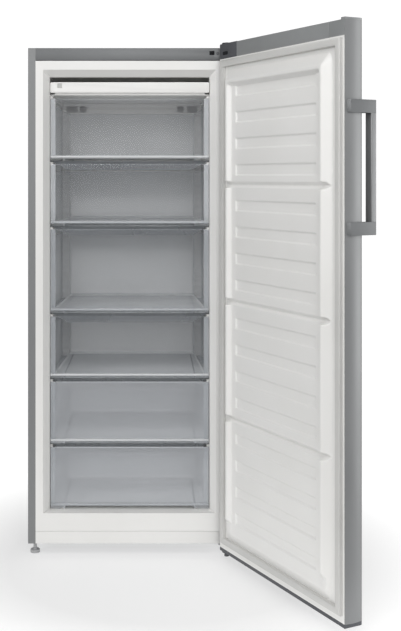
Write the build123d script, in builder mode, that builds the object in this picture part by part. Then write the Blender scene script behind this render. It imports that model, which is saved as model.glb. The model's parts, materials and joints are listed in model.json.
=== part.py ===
from build123d import *
import os
from math import cos, radians, sin

os.makedirs("parts", exist_ok=True)

# Upright freezer, millimetres. +Z is up and the floor is z = 0, x = 0 is the
# middle of the cabinet, and the cabinet's front looks along -Y. The door is
# drawn standing open, the drawers and the tray pushed in.

# ---------------------------------------------------------------- cabinet
CAB_W = 595.0  # outer width
CAB_DEPTH = 580.0  # front flange to back panel
BODY_BOTTOM = 39.0  # underside of the base above the floor
BODY_TOP = 1491.5  # top of the steel cabinet
SHELL_T = 1.0  # steel skin
OVERCUT = 1.0  # cuts that end in the open
FACE_T = 2.5  # front flange, side returns and plinth
RETURN_W = 22.0  # steel return beside the white flange
TRIM_H = 35.5  # front trim under the top edge
TRIM_DEPTH = 26.0
TRIM_JOINT = 2.0  # shadow gap under the trim
TRIM_TONGUE = 1.5  # depth of the tongue that closes the gap
PAN_T = 1.5  # steel base plate
PLINTH_TOP = 74.5
PLINTH_JOINT = 0.8  # seam over the plinth

# ---------------------------------------------------------------- inner liner
LINER_T = 2.0
SIDE_WALL = 61.5  # cabinet side to the food space behind the bevel
BACK_WALL = 65.0  # rear wall of the food space to the cabinet's back
BEVEL_DEPTH = 25.0  # depth of the bevel round the mouth
BEVEL_W = 17.5  # bevel at the sides
BEVEL_LOW = 4.0
BEVEL_HIGH = 20.0
FLOOR_Z = 132.0
CEILING_DROP = 83.5  # food space under the cabinet's top
STEP_WALL = 55.0  # insulation in front of the machine room
STEP_TOP = 250.0
RIB_W = 8.0  # ribs that carry the shelves
RIB_H = 8.0
RIB_START = 40.0
RIB_END_GAP = 5.0  # short of the duct cover

# ---------------------------------------------------------------- levels
TALL_EXTRA = 65.0  # the third drawer is this much taller
TALL_DRAWER = 3  # counted from the top
DRAWER_COUNT = 6
TRAY_SEAT_DROP = 53.0  # from the ceiling down to the tray's runners
SHELF_T = 4.0
SHELF_FRONT = 35.0  # front edge of a shelf behind the flange
SKIRT_T = 4.0
SKIRT_H = 28.0
SKIRT_SIDE = 8.0  # skirt to the throat's side at its top
SIDE_PLAY = 0.5  # fixed pieces to the liner walls

# ---------------------------------------------------------------- drawers
DRAWER_FRONT_DEPTH = 31.0  # back face of the drawer fronts
FRONT_SIDE_GAP = 2.5  # front to the throat's side
FRONT_T = 3.0
TOP_GAP = 10.0  # drawer front to the shelf above
RIM_DROP = 30.5  # tub rim under the shelf above
RAIL_W = 14.0  # raised strip down each side of the front
RAIL_PROUD = 3.5
LIP_RISE = 6.0  # underside of the grip lip over the shelf
LIP_RISE_LOW = 9.0  # the same on the lowest drawer
LIP_H = 9.0
LIP_PROUD = 8.0
LIP_EDGE = 2.0  # top chamfer
LIP_UNDER = 3.0  # slope of the underside
GRIP_SIDE = 52.0  # notch under the lip to the throat's side
GRIP_SLANT = 22.0
RUN_GAP = 0.3  # sliding pieces over what they run on
TUB_WALL = 2.5
TUB_RISE = 8.0  # tub floor over its runners
RUNNER_W = 4.0
TUB_SIDE_GAP = 10.0  # tub to the throat's side
TUB_TAPER = 18.0  # each side, towards the back
TUB_BACK_GAP = 13.0  # tub to the duct cover
TUB_STEP_GAP = 10.0  # lowest tub to the step
TUB_R = 12.0

# ---------------------------------------------------------------- freezing tray
TRAY_BAR_RISE = 7.0  # bar over the tray's runners
TRAY_BAR_H = 31.0
TRAY_BAR_SIDE = 1.5  # bar to the throat's side
TRAY_BAR_T = 11.0
TRAY_BAR_R = 4.0
TRAY_SIDE_GAP = 2.0
TRAY_RUNNER_W = 12.0  # runner outside the tray's wall
TRAY_WALL_RISE = 30.0  # walls over the runners
TRAY_BACK_GAP = 45.0  # tray to the duct cover
TRAY_T = 2.5
RECESS_SIDE = 28.0  # from the bar's left end
RECESS_DROP = 10.5  # under the bar's top
RECESS_SIZE = 15.0
RECESS_D = 1.5

# ---------------------------------------------------------------- air duct and cooling
DUCT_SPACE = 90.0  # duct cover's face to the rear wall
DUCT_T = 3.0
DUCT_SIDE_GAP = 4.0
VENT_H = 21.0
VENT_DROP = 5.0
VENTS_LEFT = ((14.0, 51.0), (58.0, 80.0))  # from the duct cover's side
VENTS_RIGHT = ((14.0, 48.0), (60.0, 80.0))
EVAP_SIDE = 42.0  # evaporator to the duct cover's side
EVAP_DEPTH = 48.0
EVAP_H = 210.0
EVAP_BOTTOM = STEP_TOP
FIN_COUNT = 26
FIN_T = 1.0
EVAP_TUBE_R = 4.0
EVAP_TUBE_ROWS = 3
EVAP_TUBE_COLUMNS = 2
FAN_Z = 620.0
FAN_R = 55.0
FAN_BLADES = 5
FAN_T = 16.0
MOTOR_R = 21.0
MOTOR_LEN = 34.0
MOTOR_SHAFT_R = 2.5
HUB_R = 17.0
BLADE_W = 25.0
BLADE_T = 4.0
SHAFT_PLAY = 0.05

# ---------------------------------------------------------------- machine room
ROOM_DEPTH = 195.0  # machine room, from the cabinet's back
ROOM_TOP = 190.0
COMP_X = -92.0
COMP_FROM_BACK = 98.0
COMP_R = 62.0
COMP_BOTTOM = 58.0
COMP_H = 104.0
COMP_ROUND = 22.0
COMP_FOOT_T = 3.0
COMP_FOOT_HALF = 43.0
MOUNT_R = 9.0
TERMINAL_W = 34.0
TERMINAL_HALF = 24.0
TERMINAL_LOW = 26.0  # over the compressor's underside
TERMINAL_HIGH = 78.0
TERMINAL_R = 4.0
COND_X0 = 30.0
COND_SIDE = 20.0  # tube bends to the machine room's side
COND_TUBE_R = 3.0
COND_RUNS = 6
COND_PITCH = 20.0
COND_BASE = 62.0
COND_FROM_BACK = 32.0
COND_PLATE_T = 1.5
COND_PLATE_INSET = 12.0
COND_PLATE_HALF = 14.0
COND_PLATE_OVER = 12.0  # plates over the top run
DRIP_W = 170.0
DRIP_D = 120.0
DRIP_H = 16.0
DRIP_T = 2.0
DRIP_R = 10.0

# ---------------------------------------------------------------- door
DOOR_OPEN = 116.35  # degrees from closed, as drawn
DOOR_T = 56.0
DOOR_BOTTOM = 28.0
DOOR_OVER = 7.5  # door's top over the cabinet's
DOOR_GAP = 12.0  # inner face to cabinet flange when closed
EDGE_R = 10.0
PIN_FROM_EDGE = 14.5  # hinge axis from the hinge edge
PIN_FROM_FACE = 14.7  # hinge axis from the inner face
TOP_CAP_H = 44.0  # measured from the door's top edge
CAP_RIM = 5.5  # raised ends of the top caps over the skin
CAP_RIM_HINGE = 4.5  # rim between them, at its hinge end
CAP_RIM_FREE = 0.5  # the same at its free end
CAP_END_W = 15.0  # raised end at the free edge
PLUG_P = 31.0  # blind plug of the corner cap, from the hinge edge
PLUG_DROP = 28.0  # from the door's top
PLUG_W = 28.0
PLUG_H = 10.0
PLUG_DEPTH = 4.0
PLUG_PROUD = 0.6
BOSS_WALL = 4.5  # boss round the lower hinge pin
CORNER_CAP_W = 94.0
BOTTOM_CAP_H = 10.0
CAP_SEAM_P = 530.0
CAP_SEAM = 1.0  # width and depth of the groove
PANEL_T = 2.0  # flat of the door liner
GASKET_T = 11.6
GASKET_W = 20.0
GASKET_LOW_W = 18.0  # width of the bottom run
GASKET_EDGE = 7.0
GASKET_PIN_GAP = 2.0  # gasket starts past the hinge axis
GASKET_TOP_GAP = 5.0  # seal to the top cap
GASKET_LOW_GAP = 19.0  # seal to the bottom cap
DYKE_H = 22.0
DYKE_BASE = 48.0  # from the door's edge
DYKE_RUN = 19.0
DYKE_TOP_GAP = 35.0  # raised field to the top cap
DYKE_TOP_RUN = 32.0
DYKE_LOW_GAP = 39.0  # raised field to the bottom cap
DYKE_LOW_RUN = 47.0
RIDGE_W = 8.0
PAN_H = 10.0  # height of the pan between the ridges
PAN_WALL_RUN = 8.0
LOW_LIMIT_OVER = 2.0  # ridges stay out of the flange up to this far over the mouth's edge
LOW_LIMIT_H = 11.0
LOW_RAMP = 12.0
PAN_LOW_GAP = 19.0  # lowest pan's start over the raised field's
PAN_HIGH_GAP = 4.0  # top pan's end over the raised field's
GROOVE_FLOOR_H = 3.0
GROOVE_HALF_FLOOR = 2.0
GROOVE_HALF = 8.0
GROOVE_HALF_TOP = 9.5
SLOT_PITCH = 74.5
SLOT_H = 32.0
SLOT_D = 4.0
SLOT_TAPER = 40.0  # degrees
SLOT_SIDE = 21.0  # slot to the pan's side
SLOT_DROPS = (37.0, 43.0, 43.0, 51.0)  # first slot under each pan's top, from the lowest pan up
SLOT_COUNT = 4
CORE_SIDE = 9.0  # hollow to the pan's side
CORE_H = 3.5

# ---------------------------------------------------------------- hinges
PIN_R = 4.0
PIN_PLAY = 0.05
PIN_END_GAP = 1.0
ARM_T = 3.0
ARM_HALF = 13.0
ARM_GAP = 0.8
UPPER_FOOT_START = 6.0
UPPER_FOOT_END = 62.0
LOWER_FOOT_START = 20.0
LOWER_FOOT_END = 80.0
PIN_HEAD_R = 7.0
PIN_HEAD_H = 11.0
PIN_CAP_R = 6.0
PIN_CAP_H = 1.2
PIN_DEPTH = 18.0
COLLAR_H = 0.7
SCREW_R = 2.0
SCREW_LEN = 11.0
SCREW_HEAD_R = 4.5
SCREW_HEAD_H = 2.2
CROSS_L = 6.0  # cross recess in the head
CROSS_W = 1.0
CROSS_D = 1.0
UPPER_SCREW_START = 9.0  # from the ends of the bracket's foot
LOWER_SCREW_START = 14.0
SCREW_END = 12.0

# ---------------------------------------------------------------- handle
HANDLE_DROP = 190.5  # under the cabinet's top
HANDLE_LEN = 329.0
BRACKET_H = 32.0
BRACKET_PROUD = 8.0
BRACKET_INNER_Q = 6.0
BRACKET_CHAMFER = 7.0
BAR_P = 24.0  # bar size along the door
BAR_Q = 16.0  # bar size out of the door
BAR_OUT_Q = 89.5  # outer face of the bar from the inner face
BAR_R = 2.5

# ---------------------------------------------------------------- door switch
SWITCH_SIDE = 55.7  # from the cabinet's side
SWITCH_DROP = 14.5  # from the cabinet's top
SWITCH_W = 14.5
SWITCH_H = 12.0
SWITCH_DEPTH = 22.0
PLUNGER_W = 7.0
PLUNGER_H = 6.0
PLUNGER_OUT = 10.0
PLUNGER_IN = 11.0
PLUNGER_TRAVEL = 5.0
PLUNGER_PLAY = 0.1
PLUNGER_R = 1.5
PLUNGER_END_GAP = 1.0
TRIM_SCREW_SIDE = 39.0
TRIM_SCREW_DROP = 16.0

# ---------------------------------------------------------------- feet and rollers
FOOT_SIDE = 16.5  # from the cabinet's side
LEFT_FOOT_DEPTH = 42.0
RIGHT_FOOT_DEPTH = 105.0  # clear of the lower hinge
FOOT_R = 14.0
FOOT_PAD_H = 10.0
FOOT_ROUND = 3.0
FOOT_NUT_R = 7.5
FOOT_H = 14.0
STEM_R = 5.0
STEM_TOP = 56.0
STEM_PLAY = 0.05
BOSS_R = 10.0
BOSS_TOP = 58.0
ROLLER_SIDE = 42.5
ROLLER_FROM_BACK = 35.0
ROLLER_R = 15.0
ROLLER_W = 18.0
ROLLER_CHAMFER = 1.0
AXLE_R = 3.0
FORK_T = 2.0
FORK_GAP = 0.5
FORK_HALF = 11.0
FORK_BELOW = 6.0  # ears under the axle

# ---------------------------------------------------------------- derived places
Y_FRONT = -CAB_DEPTH / 2
Y_BACK = CAB_DEPTH / 2
HALF_W = CAB_W / 2
INNER_X = HALF_W - SHELL_T
RETURN_X = HALF_W - RETURN_W
TRIM_BOTTOM = BODY_TOP - TRIM_H
TRIM_SPAN = (-RETURN_X, RETURN_X)
PAN_TOP = BODY_BOTTOM + PAN_T
THROAT_W = CAB_W - 2 * SIDE_WALL
THROAT_X = THROAT_W / 2
GRIP_HALF = THROAT_X - GRIP_SIDE
MOUTH_W = THROAT_W + 2 * BEVEL_W
MOUTH_BOTTOM = FLOOR_Z - BEVEL_LOW
CEILING_Z = BODY_TOP - CEILING_DROP
MOUTH_TOP = CEILING_Z + BEVEL_HIGH
LINER_X = THROAT_X + LINER_T
SHELL_BACK = Y_BACK - SHELL_T
CAVITY_DEPTH = CAB_DEPTH - BACK_WALL
DUCT_FRONT = CAVITY_DEPTH - DUCT_SPACE
DUCT_HALF = THROAT_X - DUCT_SIDE_GAP
RIB_END = DUCT_FRONT - RIB_END_GAP
ROOM_FRONT = CAB_DEPTH - ROOM_DEPTH
STEP_DEPTH = ROOM_FRONT - STEP_WALL
DRAWER_FRONT_W = THROAT_W - 2 * FRONT_SIDE_GAP
TUB_W = THROAT_W - 2 * TUB_SIDE_GAP
TUB_BACK = DUCT_FRONT - TUB_BACK_GAP
TUB_BACK_LOW = STEP_DEPTH - TUB_STEP_GAP
SKIRT_HALF_TOP = THROAT_X - SKIRT_SIDE
TRAY_BAR_W = THROAT_W - 2 * TRAY_BAR_SIDE
TRAY_W = THROAT_W - 2 * TRAY_SIDE_GAP
TRAY_WALL_X = TRAY_W / 2 - TRAY_RUNNER_W
TRAY_BACK = DUCT_FRONT - TRAY_BACK_GAP
TRAY_SEAT = CEILING_Z - TRAY_SEAT_DROP
TRAY_BAR_BOTTOM = TRAY_SEAT + TRAY_BAR_RISE
TRAY_BAR_TOP = TRAY_BAR_BOTTOM + TRAY_BAR_H
TRAY_WALL_TOP = TRAY_SEAT + TRAY_WALL_RISE
RECESS_X = RECESS_SIDE - TRAY_BAR_W / 2
RECESS_Z = TRAY_BAR_TOP - RECESS_DROP
VENTS = [(a - DUCT_HALF, b - DUCT_HALF) for a, b in VENTS_LEFT]
VENTS += [(DUCT_HALF - b, DUCT_HALF - a) for a, b in VENTS_RIGHT]
EVAP_W = 2 * (DUCT_HALF - EVAP_SIDE)
COND_X1 = LINER_X - COND_SIDE
SWITCH_X = HALF_W - SWITCH_SIDE
SWITCH_Z = BODY_TOP - SWITCH_DROP
TRIM_SCREW_X = HALF_W - TRIM_SCREW_SIDE
TRIM_SCREW_Z = BODY_TOP - TRIM_SCREW_DROP
FOOT_X = HALF_W - FOOT_SIDE
ROLLER_X = HALF_W - ROLLER_SIDE

# Seats of the drawers, lowest first: the liner floor, then the shelves.
DRAWER_PITCH = (TRAY_SEAT - FLOOR_Z - TALL_EXTRA) / DRAWER_COUNT
SEATS = [FLOOR_Z]
for number in range(DRAWER_COUNT, 1, -1):
    SEATS.append(SEATS[-1] + DRAWER_PITCH + (TALL_EXTRA if number == TALL_DRAWER else 0))
# What lies over each drawer: the next seat, and the tray's runners over the top one.
COVERS = SEATS[1:] + [TRAY_SEAT]

DOOR_W = CAB_W
DOOR_TOP = BODY_TOP + DOOR_OVER
swing = radians(DOOR_OPEN - 90)
ALONG = Vector(sin(swing), -cos(swing), 0)  # hinge edge to free edge
OUTWARD = Vector(cos(swing), sin(swing), 0)  # out of the door's outer face
PIN_X = HALF_W - PIN_FROM_EDGE
PIN_Y = Y_FRONT - DOOR_GAP - PIN_FROM_FACE
DOOR_ORIGIN = Vector(PIN_X, PIN_Y, 0) - ALONG * PIN_FROM_EDGE - OUTWARD * PIN_FROM_FACE
# The door's plan: local x runs from the hinge edge, local y from the inner face outwards.
DOOR_PLAN = Plane(origin=DOOR_ORIGIN, x_dir=ALONG, z_dir=(0, 0, 1))
# The door's inner face: local x as above, local y is the height, and the normal looks inwards.
DOOR_INNER = Plane(origin=DOOR_ORIGIN, x_dir=ALONG, z_dir=OUTWARD * -1)
SKIN_HIGH = DOOR_TOP - CAP_RIM
LINER_LOW = DOOR_BOTTOM + BOTTOM_CAP_H  # skin and liner start on the bottom cap
LINER_HIGH = DOOR_TOP - TOP_CAP_H
GASKET_BOTTOM = LINER_LOW + GASKET_LOW_GAP
GASKET_TOP = LINER_HIGH - GASKET_TOP_GAP
DYKE_BASE_BOTTOM = LINER_LOW + DYKE_LOW_GAP
DYKE_BOTTOM = DYKE_BASE_BOTTOM + DYKE_LOW_RUN
DYKE_BASE_TOP = LINER_HIGH - DYKE_TOP_GAP
DYKE_TOP = DYKE_BASE_TOP - DYKE_TOP_RUN
LOW_LIMIT_Z = MOUTH_BOTTOM + LOW_LIMIT_OVER
PAN_LOW_Z = DYKE_BASE_BOTTOM + PAN_LOW_GAP
PAN_PITCH = (DYKE_BASE_TOP + PAN_HIGH_GAP - PAN_LOW_Z) / len(SLOT_DROPS)
RIDGE_IN = DYKE_BASE + DYKE_RUN + RIDGE_W
PAN_SIDE = RIDGE_IN + PAN_WALL_RUN
SLOT_INSET = PAN_SIDE + SLOT_SIDE
CORE_INSET = PAN_SIDE + CORE_SIDE
LOWER_ARM_Z = DOOR_BOTTOM - RUN_GAP - COLLAR_H - ARM_T
UPPER_ARM_Z = DOOR_TOP + ARM_GAP
PIN_PLAN = (PIN_FROM_EDGE, PIN_FROM_FACE)
BOSS_HIGH = DOOR_BOTTOM + PIN_DEPTH + PIN_END_GAP + PIN_END_GAP
HANDLE_TOP = BODY_TOP - HANDLE_DROP
HANDLE_BOTTOM = HANDLE_TOP - HANDLE_LEN


def behind(depth):
    """Y of a point that lies this deep behind the front flange."""
    return Y_FRONT + depth


def front_plane(depth):
    """Vertical plane facing the front; local x is X and local y is Z."""
    return Plane.XZ.offset(CAB_DEPTH / 2 - depth)


def block(x, y, z, mode=Mode.ADD):
    """Box between pairs of coordinates."""
    with Locations(((x[0] + x[1]) / 2, (y[0] + y[1]) / 2, (z[0] + z[1]) / 2)):
        Box(x[1] - x[0], y[1] - y[0], z[1] - z[0], mode=mode)


def door_block(p, q, z, mode=Mode.ADD):
    """Box in the door: p from the hinge edge, q out from the inner face, z height."""
    with BuildSketch(DOOR_PLAN.offset(z[0])) as plan:
        with Locations(((p[0] + p[1]) / 2, (q[0] + q[1]) / 2)):
            Rectangle(p[1] - p[0], q[1] - q[0])
    extrude(plan.sketch, amount=z[1] - z[0], mode=mode)


def door_slab(inset, q_inner, p, z, mode=Mode.ADD):
    """Upright slab of the door's plan, its outer corners rounded where they reach the edges."""
    with BuildSketch(DOOR_PLAN.offset(z[0])) as plan:
        with Locations(((p[0] + p[1]) / 2, (q_inner + DOOR_T - inset) / 2)):
            Rectangle(p[1] - p[0], DOOR_T - inset - q_inner)
        outer = plan.vertices().group_by(Axis.Y)[-1]
        at_edge = [v for v in outer if v.X <= inset or v.X >= DOOR_W - inset]
        fillet(at_edge, EDGE_R - inset)
    extrude(plan.sketch, amount=z[1] - z[0], mode=mode)


def upright(radius, x, y, z, mode=Mode.ADD):
    """Upright cylinder between two heights."""
    with BuildSketch(Plane.XY.offset(z[0])) as round_plan:
        with Locations((x, y)):
            Circle(radius)
    extrude(round_plan.sketch, amount=z[1] - z[0], mode=mode)


def level_rod(radius, x, y, z, mode=Mode.ADD):
    """Cylinder along X between x[0] and x[1]."""
    with BuildSketch(Plane.YZ.offset(x[0])) as section:
        with Locations((y, z)):
            Circle(radius)
    extrude(section.sketch, amount=x[1] - x[0], mode=mode)


def cross_rod(radius, x, y, z, mode=Mode.ADD):
    """Cylinder along Y between y[0] and y[1]."""
    with BuildSketch(Plane.XZ.offset(-y[1])) as section:
        with Locations((x, z)):
            Circle(radius)
    extrude(section.sketch, amount=y[1] - y[0], mode=mode)


def mouth_loft(wall):
    """Bevel from the mouth to the throat, grown outwards by a wall thickness."""
    with BuildSketch(front_plane(0)) as mouth:
        with Locations((0, (MOUTH_BOTTOM + MOUTH_TOP) / 2)):
            Rectangle(MOUTH_W + 2 * wall, MOUTH_TOP - MOUTH_BOTTOM + 2 * wall)
    with BuildSketch(front_plane(BEVEL_DEPTH)) as throat:
        with Locations((0, (FLOOR_Z + CEILING_Z) / 2)):
            Rectangle(THROAT_W + 2 * wall, CEILING_Z - FLOOR_Z + 2 * wall)
    loft([mouth.sketch, throat.sketch])


def liner_volume(wall):
    """Food space behind the mouth, grown outwards by a wall thickness."""
    mouth_loft(wall)
    block(
        (-THROAT_X - wall, THROAT_X + wall),
        (behind(BEVEL_DEPTH), behind(CAVITY_DEPTH + wall)),
        (FLOOR_Z - wall, CEILING_Z + wall),
    )
    block(
        (-THROAT_X - wall, THROAT_X + wall),
        (behind(STEP_DEPTH + wall), behind(CAVITY_DEPTH + wall)),
        (FLOOR_Z - wall, STEP_TOP - wall),
        mode=Mode.SUBTRACT,
    )


def foot_place(side):
    """Plan position of the front foot on this side."""
    return side * FOOT_X, behind(LEFT_FOOT_DEPTH if side < 0 else RIGHT_FOOT_DEPTH)


# Screw seats: the plane's normal points out of the head.
UPPER_SCREWS = [
    Plane(origin=(PIN_X, behind(d), BODY_TOP + ARM_T), z_dir=(0, 0, 1))
    for d in (UPPER_FOOT_START + UPPER_SCREW_START, UPPER_FOOT_END - SCREW_END)
]
LOWER_SCREWS = [
    Plane(origin=(PIN_X, behind(d), BODY_BOTTOM - ARM_T), z_dir=(0, 0, -1))
    for d in (LOWER_FOOT_START + LOWER_SCREW_START, LOWER_FOOT_END - SCREW_END)
]
TRIM_SCREWS = [Plane(origin=(TRIM_SCREW_X, Y_FRONT, TRIM_SCREW_Z), z_dir=(0, -1, 0))]


def screw_shanks(planes, mode=Mode.ADD):
    """Shanks of the screws seated on these planes, or the holes that take them."""
    for seat in planes:
        with BuildSketch(seat) as section:
            Circle(SCREW_R)
        extrude(section.sketch, amount=-SCREW_LEN, mode=mode)


# ================================================================ cabinet
with BuildPart() as liner_fill:
    liner_volume(LINER_T)

with BuildPart() as cavity:
    liner_volume(0)

with BuildPart() as outer_shell:
    block((-HALF_W, HALF_W), (Y_FRONT, Y_BACK), (BODY_BOTTOM, BODY_TOP))
    block(
        (-INNER_X, INNER_X),
        (behind(FACE_T), Y_BACK),
        (BODY_BOTTOM, BODY_TOP - SHELL_T),
        mode=Mode.SUBTRACT,
    )
    block((-RETURN_X, RETURN_X), (Y_FRONT, behind(FACE_T)), (BODY_BOTTOM, BODY_TOP), mode=Mode.SUBTRACT)
    block(TRIM_SPAN, (Y_FRONT, behind(TRIM_DEPTH)), (TRIM_BOTTOM, BODY_TOP), mode=Mode.SUBTRACT)
    screw_shanks(UPPER_SCREWS, mode=Mode.SUBTRACT)
outer_shell.part.label = "outer_shell"
export_step(outer_shell.part, "parts/outer_shell.step")

with BuildPart() as rear_panel:
    block((-INNER_X, INNER_X), (SHELL_BACK, Y_BACK), (PAN_TOP, BODY_TOP - SHELL_T))
    block((-LINER_X, LINER_X), (SHELL_BACK, Y_BACK), (PAN_TOP, ROOM_TOP), mode=Mode.SUBTRACT)
rear_panel.part.label = "rear_panel"
export_step(rear_panel.part, "parts/rear_panel.step")

with BuildPart() as top_trim:
    block(TRIM_SPAN, (Y_FRONT, behind(TRIM_DEPTH)), (TRIM_BOTTOM, BODY_TOP))
    block(TRIM_SPAN, (behind(TRIM_TONGUE), behind(FACE_T)), (TRIM_BOTTOM - TRIM_JOINT, TRIM_BOTTOM))
    block(
        (SWITCH_X - SWITCH_W / 2, SWITCH_X + SWITCH_W / 2),
        (Y_FRONT, behind(SWITCH_DEPTH)),
        (SWITCH_Z - SWITCH_H / 2, SWITCH_Z + SWITCH_H / 2),
        mode=Mode.SUBTRACT,
    )
    screw_shanks(UPPER_SCREWS + TRIM_SCREWS, mode=Mode.SUBTRACT)
top_trim.part.label = "top_trim"
export_step(top_trim.part, "parts/top_trim.step")

with BuildPart() as inner_liner:
    block(
        (-RETURN_X, RETURN_X),
        (Y_FRONT, behind(FACE_T)),
        (PLINTH_TOP + PLINTH_JOINT, TRIM_BOTTOM - TRIM_JOINT),
    )
    add(liner_fill.part)
    add(cavity.part, mode=Mode.SUBTRACT)
    for seat in SEATS[1:] + [TRAY_SEAT]:
        rib_top = seat if seat == TRAY_SEAT else seat - SHELF_T
        for x in ((-THROAT_X, RIB_W - THROAT_X), (THROAT_X - RIB_W, THROAT_X)):
            block(x, (behind(RIB_START), behind(RIB_END)), (rib_top - RIB_H, rib_top))
inner_liner.part.label = "inner_liner"
export_step(inner_liner.part, "parts/inner_liner.step")

for side, name in ((-1, "insulation_left"), (1, "insulation_right")):
    foot_x, foot_y = foot_place(side)
    with BuildPart() as insulation_side:
        block(
            (-INNER_X, -LINER_X) if side < 0 else (LINER_X, INNER_X),
            (behind(FACE_T), SHELL_BACK),
            (PAN_TOP, CEILING_Z + LINER_T),
        )
        add(liner_fill.part, mode=Mode.SUBTRACT)
        upright(BOSS_R, foot_x, foot_y, (PAN_TOP, BOSS_TOP), mode=Mode.SUBTRACT)
        screw_shanks(LOWER_SCREWS, mode=Mode.SUBTRACT)
    insulation_side.part.label = name
    export_step(insulation_side.part, f"parts/{name}.step")

with BuildPart() as insulation_top:
    block(
        (-INNER_X, INNER_X),
        (behind(FACE_T), SHELL_BACK),
        (CEILING_Z + LINER_T, BODY_TOP - SHELL_T),
    )
    block(TRIM_SPAN, (Y_FRONT, behind(TRIM_DEPTH)), (TRIM_BOTTOM, BODY_TOP), mode=Mode.SUBTRACT)
    add(liner_fill.part, mode=Mode.SUBTRACT)
    screw_shanks(UPPER_SCREWS, mode=Mode.SUBTRACT)
insulation_top.part.label = "insulation_top"
export_step(insulation_top.part, "parts/insulation_top.step")

with BuildPart() as insulation_base:
    block((-LINER_X, LINER_X), (behind(FACE_T), behind(ROOM_FRONT)), (PAN_TOP, FLOOR_Z - LINER_T))
    block(
        (-LINER_X, LINER_X),
        (behind(STEP_DEPTH + LINER_T), behind(ROOM_FRONT)),
        (FLOOR_Z - LINER_T, STEP_TOP - LINER_T),
    )
    block((-LINER_X, LINER_X), (behind(ROOM_FRONT), SHELL_BACK), (ROOM_TOP, STEP_TOP - LINER_T))
    add(liner_fill.part, mode=Mode.SUBTRACT)
insulation_base.part.label = "insulation_base"
export_step(insulation_base.part, "parts/insulation_base.step")

with BuildPart() as insulation_back:
    block(
        (-LINER_X, LINER_X),
        (behind(CAVITY_DEPTH + LINER_T), SHELL_BACK),
        (STEP_TOP - LINER_T, CEILING_Z + LINER_T),
    )
insulation_back.part.label = "insulation_back"
export_step(insulation_back.part, "parts/insulation_back.step")

with BuildPart() as base_pan:
    block((-INNER_X, INNER_X), (behind(FACE_T), Y_BACK), (BODY_BOTTOM, PAN_TOP))
    for side in (-1, 1):
        upright(BOSS_R, *foot_place(side), (PAN_TOP, BOSS_TOP))
        upright(STEM_R + STEM_PLAY, *foot_place(side), (BODY_BOTTOM, BOSS_TOP), mode=Mode.SUBTRACT)
    screw_shanks(LOWER_SCREWS, mode=Mode.SUBTRACT)
base_pan.part.label = "base_pan"
export_step(base_pan.part, "parts/base_pan.step")

with BuildPart() as plinth:
    block((-RETURN_X, RETURN_X), (Y_FRONT, behind(FACE_T)), (BODY_BOTTOM, PLINTH_TOP))
plinth.part.label = "plinth"
export_step(plinth.part, "parts/plinth.step")

# ---------------------------------------------------------------- shelves
for number, seat in enumerate(reversed(SEATS[1:]), 1):
    with BuildPart() as shelf:
        block(
            (SIDE_PLAY - THROAT_X, THROAT_X - SIDE_PLAY),
            (behind(SHELF_FRONT), behind(DUCT_FRONT - SIDE_PLAY)),
            (seat - SHELF_T, seat),
        )
        with BuildSketch(front_plane(SHELF_FRONT)):
            with BuildLine():
                Polyline(
                    (-SKIRT_HALF_TOP, seat - SHELF_T),
                    (SKIRT_HALF_TOP, seat - SHELF_T),
                    (GRIP_HALF, seat - SKIRT_H),
                    (-GRIP_HALF, seat - SKIRT_H),
                    close=True,
                )
            make_face()
        extrude(amount=-SKIRT_T)
    shelf.part.label = f"shelf_{number}"
    export_step(shelf.part, f"parts/shelf_{number}.step")

# ---------------------------------------------------------------- air duct, evaporator, fan
with BuildPart() as duct_cover:
    block((-DUCT_HALF, DUCT_HALF), (behind(DUCT_FRONT), behind(DUCT_FRONT + DUCT_T)), (STEP_TOP, CEILING_Z))
    for x in ((-DUCT_HALF, DUCT_T - DUCT_HALF), (DUCT_HALF - DUCT_T, DUCT_HALF)):
        block(x, (behind(DUCT_FRONT), behind(CAVITY_DEPTH)), (STEP_TOP, CEILING_Z))
    for cover in COVERS[1:]:
        for x0, x1 in VENTS:
            block(
                (x0, x1),
                (behind(DUCT_FRONT), behind(DUCT_FRONT + DUCT_T)),
                (cover - VENT_DROP - VENT_H, cover - VENT_DROP),
                mode=Mode.SUBTRACT,
            )
duct_cover.part.label = "duct_cover"
export_step(duct_cover.part, "parts/duct_cover.step")

evap_back = CAVITY_DEPTH
evap_front = evap_back - EVAP_DEPTH
with BuildPart() as evaporator:
    for i in range(FIN_COUNT):
        x = -EVAP_W / 2 + i * (EVAP_W - FIN_T) / (FIN_COUNT - 1)
        block((x, x + FIN_T), (behind(evap_front), behind(evap_back)), (EVAP_BOTTOM, EVAP_BOTTOM + EVAP_H))
    for row in range(EVAP_TUBE_ROWS):
        for column in range(EVAP_TUBE_COLUMNS):
            level_rod(
                EVAP_TUBE_R,
                (-EVAP_W / 2, EVAP_W / 2),
                behind(evap_front + (column + 0.5) * EVAP_DEPTH / EVAP_TUBE_COLUMNS),
                EVAP_BOTTOM + (row + 0.5) * EVAP_H / EVAP_TUBE_ROWS,
            )
evaporator.part.label = "evaporator"
export_step(evaporator.part, "parts/evaporator.step")

fan_back = CAVITY_DEPTH - MOTOR_LEN
fan_front = fan_back - RUN_GAP - FAN_T
with BuildPart() as fan_motor:
    cross_rod(MOTOR_R, 0, (behind(fan_back), behind(CAVITY_DEPTH)), FAN_Z)
    cross_rod(MOTOR_SHAFT_R, 0, (behind(fan_front), behind(fan_back)), FAN_Z)
fan_motor.part.label = "fan_motor"
export_step(fan_motor.part, "parts/fan_motor.step")

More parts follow.
